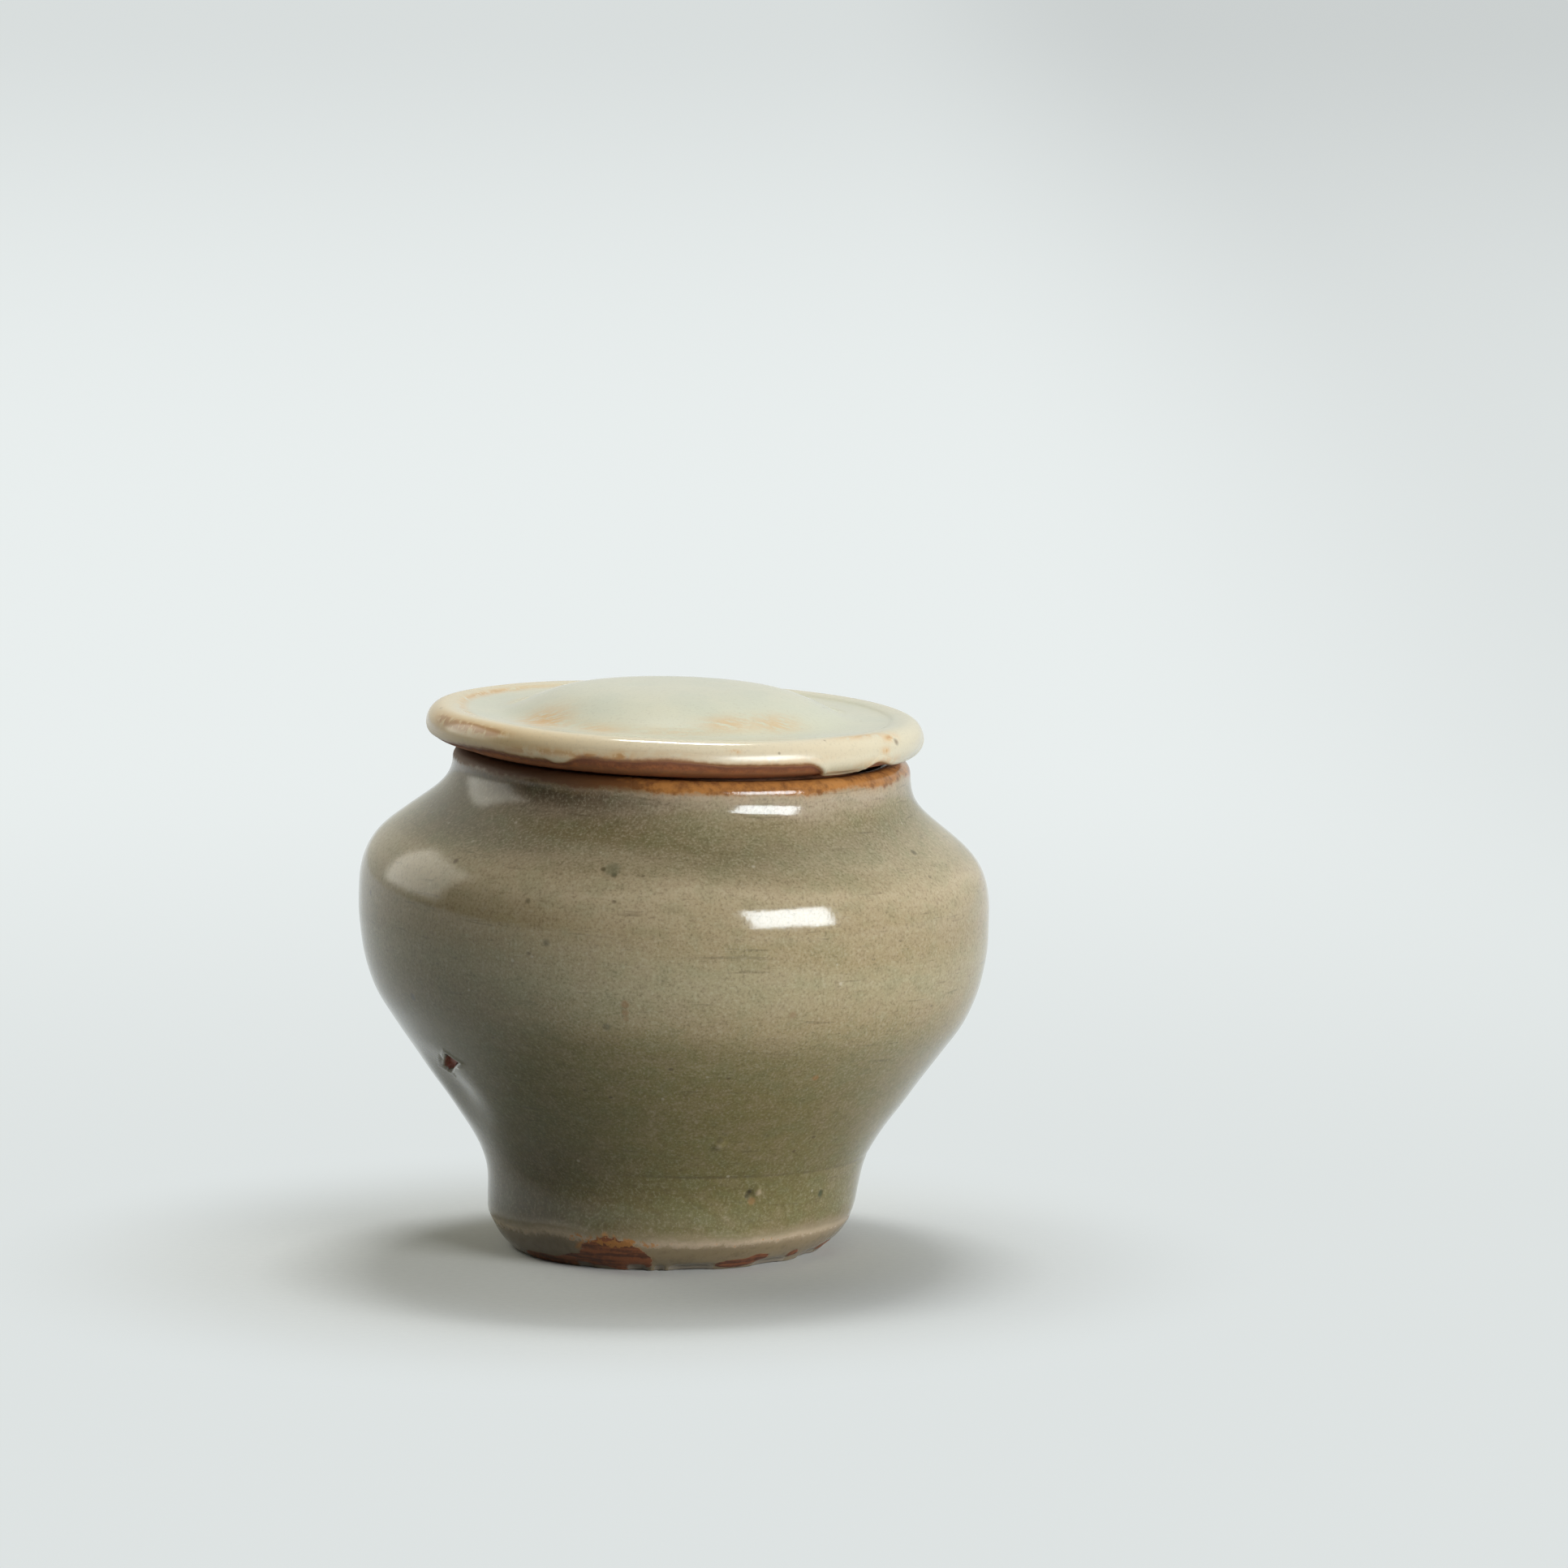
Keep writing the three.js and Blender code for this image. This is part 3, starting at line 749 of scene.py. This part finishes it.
# Marks that catch the eye: where each is, its radius, its colour and how strong it is
marks = [
    ((-103.9, 65.7), 0.55, (0.09, 0.07, 0.035), 0.8), ((-101.5, 65.0), 0.7, (0.10, 0.09, 0.05), 0.7),
    ((-102.0, 65.8), 1.8, (0.17, 0.17, 0.10), 0.6), ((-66.0, 13.3), 0.75, (0.05, 0.04, 0.02), 0.8),
    ((-63.2, 13.4), 0.8, (0.50, 0.40, 0.27), 0.7), ((-38.4, 12.1), 1.0, (0.06, 0.07, 0.03), 0.85),
    ((-65.0, 11.9), 0.9, (0.42, 0.22, 0.09), 0.5), ((-66.6, 12.7), 0.6, (0.05, 0.04, 0.02), 0.7),
    ((-98.8, 45.6), 0.9, (0.26, 0.13, 0.05), 0.6), ((-98.8, 44.3), 0.8, (0.26, 0.13, 0.05), 0.5),
    ((-98.7, 43.3), 0.6, (0.26, 0.13, 0.05), 0.4), ((-31.0, 67.0), 0.8, (0.12, 0.10, 0.06), 0.8),
    ((-102.4, 41.8), 0.9, (0.10, 0.08, 0.05), 0.5), ((-59.1, 33.4), 0.8, (0.40, 0.18, 0.06), 0.5),
    ((-113.2, 54.3), 0.9, (0.11, 0.09, 0.05), 0.6), ((-117.3, 60.4), 0.7, (0.11, 0.09, 0.05), 0.6),
    ((-147.8, 42.0), 0.9, (0.10, 0.10, 0.12), 0.6), ((-67.9, 44.4), 0.8, (0.25, 0.13, 0.06), 0.45),
    ((-136.4, 64.4), 0.7, (0.12, 0.08, 0.05), 0.7), ((-77.9, 22.7), 0.9, (0.10, 0.085, 0.045), 0.6),
    ((-77.9, 21.8), 0.8, (0.52, 0.46, 0.33), 0.6), ((-69.5, 21.5), 0.5, (0.48, 0.42, 0.30), 0.6),
    ((-55.5, 20.3), 0.5, (0.09, 0.06, 0.03), 0.8), ((-162.9, 56.5), 0.8, (0.12, 0.10, 0.07), 0.6),
]
for where, size, mark_colour, share in marks:
    spot = paint.near(thrown, on_wall(*where), size)
    colour = paint.mix(spot * (0.35 + blotch * 1.3) * share, colour, mark_colour)

# Bare clay, breaks and worn glaze are dull; the rest is glossy over a faint orange peel
glaze_roughness = 0.10
glaze_ior = 1.48
clay_dullness = 0.35
break_dullness = 0.4
rim_dullness = 0.04
left_rim_dullness = 0.4
bevel_dullness = 0.10
ridge_dullness = 0.25
# Dullness over the painted shade at the left of the neck
neck_shade_dullness = 0.10
peel_height = 0.012
swell_height = 0.05
grain_height = 0.009
iron_pit_depth = 0.02
broken = chip_share.step(0.12, 0.4)
dull = bare * clay_dullness + rim_bare * (rim_dullness + left_front * left_rim_dullness)
dull = dull + hole * break_dullness + broken * break_dullness
dull = dull + below * bevel_dullness + ridge_line * ridge_dullness + neck_shade * neck_shade_dullness
peel = paint.noise(thrown, 0.9, 1.0, 0.4) * peel_height
peel = peel + paint.noise(thrown, 0.14, 1.0, 0.4) * swell_height
rough_skin = (grain * 0.04 + blotch * 0.05) * (bare + rim_bare * 0.2 + hole + chip_share.step(0.1, 0.4))
paint.feed(paint.shader.inputs["Base Color"], colour)
paint.feed(paint.shader.inputs["Roughness"], dull + glaze_roughness)
relief = peel + grain * grain_height + rough_skin - iron * iron_pit_depth
paint.feed(paint.shader.inputs["Normal"], paint.bump(relief))
paint.shader.inputs["IOR"].default_value = glaze_ior
jar.data.materials.append(paint.owner)
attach(jar, "jar")
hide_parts("jar_body")

# The lid's shape
# A thrown disc with a thick rounded lip, a plate that dips inside it and a low broad dome. Its
# flange drops into the mouth, and its flat underside rests on the rim, so it leans with the rim.
lid_overhang = 3.3
lip_under_turn = 1.9
lip_under_rise = 0.95
lip_widest = 3.3
seat_radius = 33.6
lip_top_height = 3.05
lip_top_turn = 2.8
lip_inner_drop = 0.45
lip_inner_turn = 2.5
plate_dip = 0.25
plate_width = 4.4
dome_rise = 4.85
dome_lean = np.radians(0.7)
dome_lean_fades_at = 0.8
lid_wall = 4.2
flange_depth = 5.5
flange_thickness = 3.5
flange_round = 1.2
seat_gap = 0.3
lid_offset = 1.2
flange_clearance = 0.9
lid_softness = 0.25
hollow_flat_share = 0.72
hollow_shoulder_share = 0.6
dome_shoulder_across = 0.71
dome_shoulder_up = 0.56
dome_shoulder_steepness = 1.2
dome_shoulder_handle = 0.15
dome_foot_share = 0.88
crown_flat_share = 0.62

lid_radius = neck_radius + lid_overhang
flange_radius = mouth_radius - lid_offset - flange_clearance
flange_inner = flange_radius - flange_thickness
lip_top = lip_widest + lip_top_height
crease_radius = lid_radius - lip_top_turn - lip_inner_turn
crease_height = lip_top - lip_inner_drop
plate_height = crease_height - plate_dip
dome_radius = crease_radius - plate_width
crown_height = plate_height + dome_rise


def lid_outline():
    """Radius and height from the axis under the dome, round flange and lip, to the crown."""
    ceiling = crown_height - lid_wall
    toe_middle = ((flange_inner + flange_radius) / 2, -flange_depth)
    inner_toe = (flange_inner, flange_round - flange_depth)
    outer_toe = (flange_radius, flange_round - flange_depth)
    hollow = curve((0, ceiling), (hollow_flat_share * flange_inner, ceiling),
                   (flange_inner, hollow_shoulder_share * ceiling), (flange_inner, 0))
    toe = np.vstack([
        corner(inner_toe, (flange_inner, -flange_depth), toe_middle),
        corner(toe_middle, (flange_radius, -flange_depth), outer_toe),
    ])
    under = (lid_radius - lip_under_turn, lip_under_rise)
    under_corner = (lid_radius, lip_under_rise * (lid_radius - seat_radius) / (under[0] - seat_radius))
    widest = (lid_radius, lip_widest)
    top = (lid_radius - lip_top_turn, lip_top)
    crease = (crease_radius, crease_height)
    lip = np.vstack([
        [[flange_radius, 0], [seat_radius, 0], under],
        corner(under, under_corner, widest),
        corner(widest, (lid_radius, lip_top), top),
        corner(top, (crease_radius, lip_top), crease),
    ])
    dome_foot = np.array([dome_radius, plate_height])
    shoulder_height = plate_height + dome_shoulder_up * dome_rise
    shoulder_point = np.array([dome_shoulder_across * dome_radius, shoulder_height])
    rise = shoulder_point - dome_foot
    rise[1] *= dome_shoulder_steepness
    slope = rise / np.linalg.norm(rise) * dome_shoulder_handle * dome_radius
    plate = curve(crease, (crease_radius - plate_width / 3, plate_height),
                  (dome_radius + plate_width / 3, plate_height), dome_foot)
    foot = curve(dome_foot, (dome_foot_share * dome_radius, plate_height), shoulder_point - slope,
                 shoulder_point)
    crown = curve(shoulder_point, shoulder_point + slope,
                  (crown_flat_share * shoulder_point[0], crown_height), (0, crown_height))
    return np.vstack([[[0, ceiling]], hollow, [inner_toe], toe, lip, plate, foot, crown])


along, outline = soften(lid_outline(), lid_softness)
widest_at = along[np.argmax(outline[:, 0])]
seat_at = along[np.argmin(np.hypot(outline[:, 0] - seat_radius, outline[:, 1]))]
crease_at = along[np.argmin(np.hypot(outline[:, 0] - crease_radius, outline[:, 1] - crease_height))]
lid_row_count = 250
row_at = crowded(lid_row_count, 0, along[-1], [(widest_at, 6, 2.0), (along[-1], 25, -0.3), (15, 20, -0.5)])
angle = np.radians(crowded(column_count + 1, -270, 90, [(front, 45, 0.6)])[:-1])[None, :]
row_along, row_radius, row_height, out_r, out_z = rows_along(along, outline, row_at)

# The glaze stops at a wavy edge under the lip, lower at the left, and drips run over the clay:
# each is its angle, its half width in degrees and its length
drips = [
    (-46, 8.5, 2.6), (-19, 17, 2.1), (-68, 15, 0.6), (-117, 3.4, 0.6), (-165, 14, 0.5), (35, 7, 1.2),
    (120, 10, 1.6),
]
edge_above_seat = 2.95
lowest_edge = 0.15
left_drop = 1.0
edge_sway = 0.20
glaze_step = 0.16
drip_swell = 0.12
degrees = np.degrees(angle)
run = sum(length * np.exp(-(((degrees - at) / half) ** 4)) for at, half, length in drips)
left_side = smooth(-degrees, 109, 118) * (1 - smooth(-degrees, 200, 240))
edge_height = edge_above_seat - left_drop * left_side + edge_sway * waves(11, 8, 3, 24) - run
edge_height = np.clip(edge_height, lowest_edge, None)
lip_part = (along >= seat_at) & (along <= widest_at)
lid_edge_line = np.interp(edge_height, outline[lip_part, 1], along[lip_part])
lid_edge = row_along - lid_edge_line
glazed_top = smooth(lid_edge, 0, 0.7)
out = glaze_step * (glazed_top - 1) * smooth(row_along, seat_at, seat_at + 1)
out += drip_swell * run * hump(lid_edge, 0.9, 0.9) * glazed_top

# The thrower's hand: the lip and the dome are a little uneven, and the plate has faint rings
lip_unevenness = 0.04
lid_skin = 0.07
dome_unevenness = 0.04
plate_ring_height = 0.005
plate_ring_pitch = 1.3
uneven_lip = smooth(row_along, seat_at + 1, widest_at) * (1 - smooth(row_along, crease_at, crease_at + 6))
out += lip_unevenness * waves(13, 5, 2, 9) * uneven_lip - lid_skin
radius = row_radius + out_r * out
height = row_height + out_z * out
dome_share = smooth(row_along, widest_at, crease_at) * (1 - smooth(row_along, crease_at, along[-1] - 9))
height += dome_unevenness * waves(17, 4, 1, 5) * dome_share
plate_rings = plate_ring_height * np.sin(row_radius / plate_ring_pitch)
height += plate_rings * smooth(row_along, crease_at, crease_at + 4)

# Rust stains: angle, distance along the outline from the lip's widest part, half length, half width
# and strength
rust_stains = [
    (-160, 1.9, 5.0, 1.3, 1.1), (-147, 1.9, 5.0, 1.1, 1.4), (-137, 1.9, 4.0, 0.9, 1.0),
    (-128, -0.5, 7.0, 0.8, 0.7), (-118, 0.2, 7.0, 0.7, 0.6), (-109, -0.3, 3.0, 0.7, 1.0),
    (-102, 0.2, 1.8, 0.9, 0.9), (-76.5, 1.7, 0.9, 0.4, 1.0), (-92, 0.9, 7.0, 0.8, 0.35),
    (-34, -1.6, 6.5, 1.0, 0.8), (-39, 4.0, 6.5, 0.9, 0.7), (-29, 2.5, 2.2, 0.8, 0.9),
    (-33, 0.5, 1.2, 0.6, 0.8), (-66, 0.2, 8.0, 0.6, 0.5), (40, 0.6, 9.0, 1.0, 0.8),
    (100, 1.1, 6.0, 1.2, 0.8), (-145, 15.5, 4.6, 4.4, 0.95), (-138, 14.2, 4.0, 3.0, 0.75),
    (-117, 14.2, 4.2, 2.0, 0.85), (-71, 17.6, 3.6, 2.4, 0.85), (-50, 16.8, 5.0, 3.0, 0.85),
    (-90, 14.6, 6.5, 2.0, 0.5), (-205, 7.2, 18.0, 1.1, 0.8), (-168, 7.8, 8.0, 0.7, 0.7),
    (-138, 8.3, 7.0, 0.4, 0.5), (70, 15.6, 6.0, 3.0, 0.7),
]
stained = np.zeros_like(radius)
for at, from_widest, half_length, half_width, strength in rust_stains:
    across = turn_from(at) * row_radius
    up = row_along - widest_at - from_widest
    stained += strength * np.exp(-((across / half_length) ** 2 + (up / half_width) ** 2))


def lid_bend(places):
    """The dome leans back to the left, then the lid is tilted with the rim and set down on it."""
    x, y, z = places.T
    fade = 1 - smooth(np.hypot(x, y), dome_lean_fades_at * dome_radius, crease_radius)
    z = z + np.tan(dome_lean) * fade * smooth(z, 0, plate_height) * x
    tilted_x = x * np.cos(kiln_lean) + z * np.sin(kiln_lean)
    tilted_z = z * np.cos(kiln_lean) - x * np.sin(kiln_lean)
    seat_height = rim_top + np.tan(kiln_lean) * lid_offset + seat_gap
    return np.stack([tilted_x + neck_shift - lid_offset, y, tilted_z + seat_height], 1)


lid = closed_skin("celadon_lid", radius, angle, height, lid_bend, {
    "walk": row_along + 0 * angle,
    "lid_edge": lid_edge,
    "stained": stained,
})

# The lid's glaze
# The same celadon, fired paler, with rust stains along the lip and on the plate, and bare
# red-brown clay on the whole underside.
paint = Paint(bpy.data.materials.new("pale_celadon_glaze"))
thrown = paint.attribute("thrown", "Vector")
walk = paint.attribute("walk", "Fac")
gap = paint.attribute("lid_edge", "Fac")
stain_field = paint.attribute("stained", "Fac")
x_place, y_place = paint.outputs(paint.node("ShaderNodeSeparateXYZ", {}, thrown), "X", "Y")
grain = paint.noise(thrown, 2.1, 2.0, 0.65)
blotch = paint.noise(paint.stretch(thrown, (1, 1, 1), (31, 7, 5)), 0.7, 3.0, 0.6)
cloud = paint.noise(thrown, 0.07, 3.0, 0.55)
drawn_out = paint.noise(paint.stretch(thrown, (0.35, 1.3, 1)), 1.1, 3.0, 0.65)

# Pale green on the dome and the plate, cream on the lip, and tan at the lip's left
cream = (0.770, 0.680, 0.495)
tan = (0.820, 0.610, 0.320)
pale_green = (0.680, 0.675, 0.530)
grey_green = (0.620, 0.640, 0.515)
plate_green = (0.640, 0.650, 0.490)
grain_brown = (0.280, 0.240, 0.160)
blotch_pale = (0.720, 0.680, 0.560)
lip_share = walk.bell(widest_at + 1.5, 7.5) * (1 - x_place.step(20.0, 38.0) * 0.35)
lip_left = lip_share * (1 - x_place.step(-38.0, 2.0))
lid_colour = paint.coats(
    pale_green, ((cloud - 0.4).step(0.0, 0.25), grey_green),
    (walk.bell(crease_at + 6.5, 6.0) * 0.45, plate_green), (lip_share, cream), (lip_left * 0.85, tan),
    ((0.5 - grain).step(0.0, 0.25) * 0.16, grain_brown), ((blotch - 0.5).step(0.0, 0.25) * 0.10, blotch_pale),
)

# Rust stains, a brown line along the glaze's lower edge, iron specks and one dark mark
stain = (0.680, 0.410, 0.160)
deep_stain = (0.400, 0.180, 0.065)
edge_rust = (0.440, 0.190, 0.055)
edge_brown = (0.220, 0.080, 0.022)
iron_brown = (0.140, 0.090, 0.050)
mark_brown = (0.100, 0.050, 0.030)
mark_turn = np.radians(-27.3)
mark_at = (lid_radius * np.cos(mark_turn), lid_radius * np.sin(mark_turn), lip_widest + 1.8)
on_lip = 1 - walk.step(widest_at + 7.0, widest_at + 9.0)
broken = drawn_out + on_lip * (blotch - drawn_out)
soaked = stain_field * (broken - 0.30).step(0.0, 0.25)
edge_wander = gap + (blotch - 0.5) * 1.1
edge_line = edge_wander.bell(0.1, 1.0) * (0.55 + blotch * 0.9)
iron = paint.specks(thrown, 0.30, 0.42)
lid_colour = paint.coats(
    lid_colour, (soaked * (0.65 + on_lip * 0.25), stain),
    ((soaked * on_lip - 0.50).step(0.0, 0.5) * 0.5, deep_stain), (edge_line * 0.9, edge_rust),
    (edge_wander.bell(0.05, 0.6) * 0.8, edge_brown), (iron * 0.5, iron_brown),
    (paint.near(thrown, mark_at, 1.1) * 0.75, mark_brown),
)

# Bare clay underneath, redder at the right, darkest at the glaze's edge, and paler farther under,
# which is a painted reflection of the table
clay_red = (0.450, 0.150, 0.046)
clay_brown = (0.230, 0.072, 0.022)
clay_deep_red = (0.300, 0.095, 0.035)
clay_edge_brown = (0.135, 0.045, 0.018)
# Painted reflection of the table on the clay farther under the lip
clay_table_sheen = (0.460, 0.210, 0.105)
bare = 1 - (gap + (blotch - 0.5) * 0.7).step(-0.15, 0.15)
red_side = (x_place + y_place * 0.1).step(-14.0, 4.0)
bare_clay = paint.coats(
    clay_red, ((blotch * 0.7 + grain * 0.4 - 0.42).step(0.0, 0.25), clay_brown),
    (red_side * 0.4, clay_deep_red), (gap.bell(-0.1, 1.1) * 0.75, clay_edge_brown),
    ((0 - gap).step(0.8, 2.0) * 0.4, clay_table_sheen),
)
lid_colour = paint.mix(bare, lid_colour, bare_clay)

# The lid's glaze is smoother than the jar's, and duller just above its lower edge
glaze_roughness = 0.13
glaze_ior = 1.55
clay_dullness = 0.42
edge_dullness = 0.25
peel_height = 0.008
swell_height = 0.015
grain_height = 0.004
peel = paint.noise(thrown, 0.9, 1.0, 0.4) * peel_height
peel = peel + paint.noise(thrown, 0.14, 1.0, 0.4) * swell_height
rough_skin = (grain * 0.05 + blotch * 0.06) * bare
paint.feed(paint.shader.inputs["Base Color"], lid_colour)
dull = bare * clay_dullness + gap.bell(0.6, 2.4) * edge_dullness
paint.feed(paint.shader.inputs["Roughness"], dull + glaze_roughness)
paint.feed(paint.shader.inputs["Normal"], paint.bump(peel + grain * grain_height + rough_skin))
paint.shader.inputs["IOR"].default_value = glaze_ior
lid.data.materials.append(paint.owner)
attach(lid, "lid")
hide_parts("lid")

# The table
# One wide pale sheet. Near the pot the lamps light it and the pot shades it, and farther off it
# takes the even tone of a studio backdrop, so that no horizon shows.
table_radius = 6.0
table_rings = 60
table_spokes = 96
ring_radius = table_radius * np.linspace(0, 1, table_rings)[1:] ** 2
ring_angle = np.linspace(0, 2 * np.pi, table_spokes + 1)[:-1]
ring_x = (ring_radius[:, None] * np.cos(ring_angle)).ravel()
ring_y = (ring_radius[:, None] * np.sin(ring_angle)).ravel()
places = np.vstack([[0, 0, 0], np.stack([ring_x, ring_y, 0 * ring_x], -1)])
spoke = np.arange(table_spokes)
next_spoke = np.roll(spoke, -1)
inner = 1 + table_spokes * np.arange(table_rings - 2)[:, None]
outer = inner + table_spokes
table_quads = np.stack([inner + spoke, outer + spoke, outer + next_spoke, inner + next_spoke], -1)
table_fan = np.stack([0 * spoke, 1 + spoke, 1 + next_spoke], -1)
table_faces = table_fan.tolist() + table_quads.reshape(-1, 4).tolist()
table_mesh = bpy.data.meshes.new("table")
table_mesh.from_pydata(places.tolist(), [], table_faces)
table = bpy.data.objects.new("table", table_mesh)
bpy.context.scene.collection.objects.link(table)

# The backdrop's tone rises and falls with the distance behind the pot, and is darker at the right
sheet_grey = (0.675, 0.700, 0.690)
bounce_grey = (0.180, 0.190, 0.180)
fibre_grey = (0.500, 0.520, 0.515)
sheet_roughness = 0.9
sheet_gloss = 0.1
shadow_middle = (-0.010, -0.018, 0)
shadow_reach = 0.03
backdrop_from = 0.105
backdrop_tone = 0.765
backdrop_rise = 0.09
backdrop_fall = 0.13
right_shade = 0.095
backdrop_tint = (0.955, 1.005, 1.0)
paint = Paint(bpy.data.materials.new("pale_table"))
on_table = paint.node("ShaderNodeTexCoord", {}, out="Object")
to_right, behind = paint.outputs(paint.node("ShaderNodeSeparateXYZ", {}, on_table), "X", "Y")
rays = paint.node("ShaderNodeLightPath", {})
seen, mirrored, through = paint.outputs(rays, "Is Camera Ray", "Is Glossy Ray", "Is Transmission Ray")
tone = behind.step(0.0, 0.6) * backdrop_rise - behind.step(1.0, 3.6) * backdrop_fall + backdrop_tone
tone = tone - to_right.step(0.08, 0.25) * behind.step(0.2, 0.6) * right_shade
backdrop = paint.node("ShaderNodeCombineColor", {}, *(tone * tint for tint in backdrop_tint))
near_pale = paint.mix(seen + mirrored, bounce_grey, sheet_grey)
fibres = paint.noise(paint.stretch(on_table, (1, 1.6, 1)), 700.0, 3.0, 0.7)
near_pale = paint.mix((fibres - 0.5) * 0.5 + 0.25, near_pale, fibre_grey)
glow = paint.node("ShaderNodeEmission", {}, backdrop, 1.0)
paint.feed(paint.shader.inputs["Base Color"], near_pale)
paint.shader.inputs["Roughness"].default_value = sheet_roughness
paint.shader.inputs["Specular IOR Level"].default_value = sheet_gloss
away = paint.distance(on_table, shadow_middle)
share = away.step(shadow_reach, backdrop_from) * (seen + mirrored + through)
sheet = Wire(paint, paint.shader.outputs["BSDF"])
blend = paint.node("ShaderNodeMixShader", {}, share, sheet, glow)
paint.feed(paint.tree.nodes["Material Output"].inputs["Surface"], blend)
table_mesh.materials.append(paint.owner)

# The light
# A softbox at the front right, which the glaze mirrors as its bright highlights, a small light
# overhead and a little behind, soft light from both sides, and a dark room with a pale end.


def lamp(name, bearing, elevation, distance, width, height, power, colour=(1, 1, 1)):
    """A flat lamp that faces the pot, placed by its bearing from the viewer's side, to the right."""
    turn, rise = np.radians(bearing), np.radians(elevation)
    place = Vector((np.sin(turn) * np.cos(rise), -np.cos(turn) * np.cos(rise), np.sin(rise))) * distance
    light = bpy.data.lights.new(name, "AREA")
    light.shape = "RECTANGLE"
    light.size, light.size_y = width, height
    light.energy = power
    light.color = colour
    holder = bpy.data.objects.new(name, light)
    holder.location = place + aim
    holder.rotation_euler = place.to_track_quat("Z", "Y").to_euler()
    bpy.context.scene.collection.objects.link(holder)
    return holder


def soften_edges(light, edge):
    """The lamp fades out towards its edges. Two smooth humps across its face, one each way, go from
    0 at the sides to 1 in the middle, and the light is full where both are over edge."""
    fabric = Paint(light.data)
    places = fabric.node("ShaderNodeNewGeometry", {}, out="Parametric")
    wide, high = fabric.outputs(fabric.node("ShaderNodeSeparateXYZ", {}, places), "X", "Y")
    strength = wide.bell(0.5, 0.5).step(0.0, edge) * high.bell(0.5, 0.5).step(0.0, edge)
    fabric.feed(fabric.tree.nodes["Emission"].inputs["Strength"], strength)


# The front softbox has a second, bluish lamp in front of it that only the gloss mirrors, which keeps
# the highlights white over the yellowish glaze. The left card shows only in the gloss, and the other
# two side lamps don't show in it.
softbox_bearing = 44.4
softbox_elevation = 18.4
softbox_edge = 0.15
left_bearing = -112
left_card_edge = 0.4
front_softbox = lamp("front_softbox", softbox_bearing, softbox_elevation, distance=1.2, width=0.78,
                     height=0.52, power=17.2, colour=(1.0, 0.99, 0.975))
soften_edges(front_softbox, softbox_edge)
front_sheen = lamp("front_sheen", softbox_bearing, softbox_elevation, distance=1.1, width=0.715,
                   height=0.477, power=5.2, colour=(0.42, 0.75, 1.0))
front_sheen.visible_diffuse = False
soften_edges(front_sheen, softbox_edge)
lamp("overhead", bearing=173, elevation=68, distance=1.1, width=0.36, height=0.18, power=5.6)
left_card = lamp("left_card", left_bearing, elevation=22, distance=1.0, width=0.95, height=0.86,
                 power=4.9, colour=(1.0, 0.985, 0.88))
left_card.visible_diffuse = False
soften_edges(left_card, left_card_edge)
top_left = lamp("top_left", left_bearing, elevation=42, distance=1.2, width=0.6, height=0.6,
                power=4.1, colour=(1.0, 0.965, 0.83))
top_left.visible_glossy = False
right_fill = lamp("right_fill", bearing=88, elevation=12, distance=1.2, width=0.9, height=0.9,
                  power=2.9)
right_fill.visible_glossy = False

# The room is dark but for a pale end behind the pot, which shows most in the gloss, and the camera
# itself sees an even pale backdrop
backdrop_colour = (0.98, 1.0, 0.97)
backdrop_strength = 0.72
room_colour = (0.975, 0.99, 0.90)
room_end_strength = 0.24
room_end_gloss = 0.46
room_strength = 0.010
sky = Paint(bpy.data.worlds.new("studio"))
shown, shone = sky.outputs(sky.node("ShaderNodeLightPath", {}), "Is Camera Ray", "Is Glossy Ray")
toward = sky.node("ShaderNodeTexCoord", {}, out="Generated")
room_end = sky.node("ShaderNodeSeparateXYZ", {}, toward, out="Y").step(-0.1, 0.7)
background = sky.tree.nodes["Background"]
sky.feed(background.inputs["Color"], sky.mix(shown, room_colour, backdrop_colour))
room = room_end * (room_end_strength + shone * room_end_gloss) + room_strength
sky.feed(background.inputs["Strength"], shown * backdrop_strength + (1 - shown) * room)
bpy.context.scene.world = sky.owner
bpy.context.scene.view_settings.view_transform = "Standard"
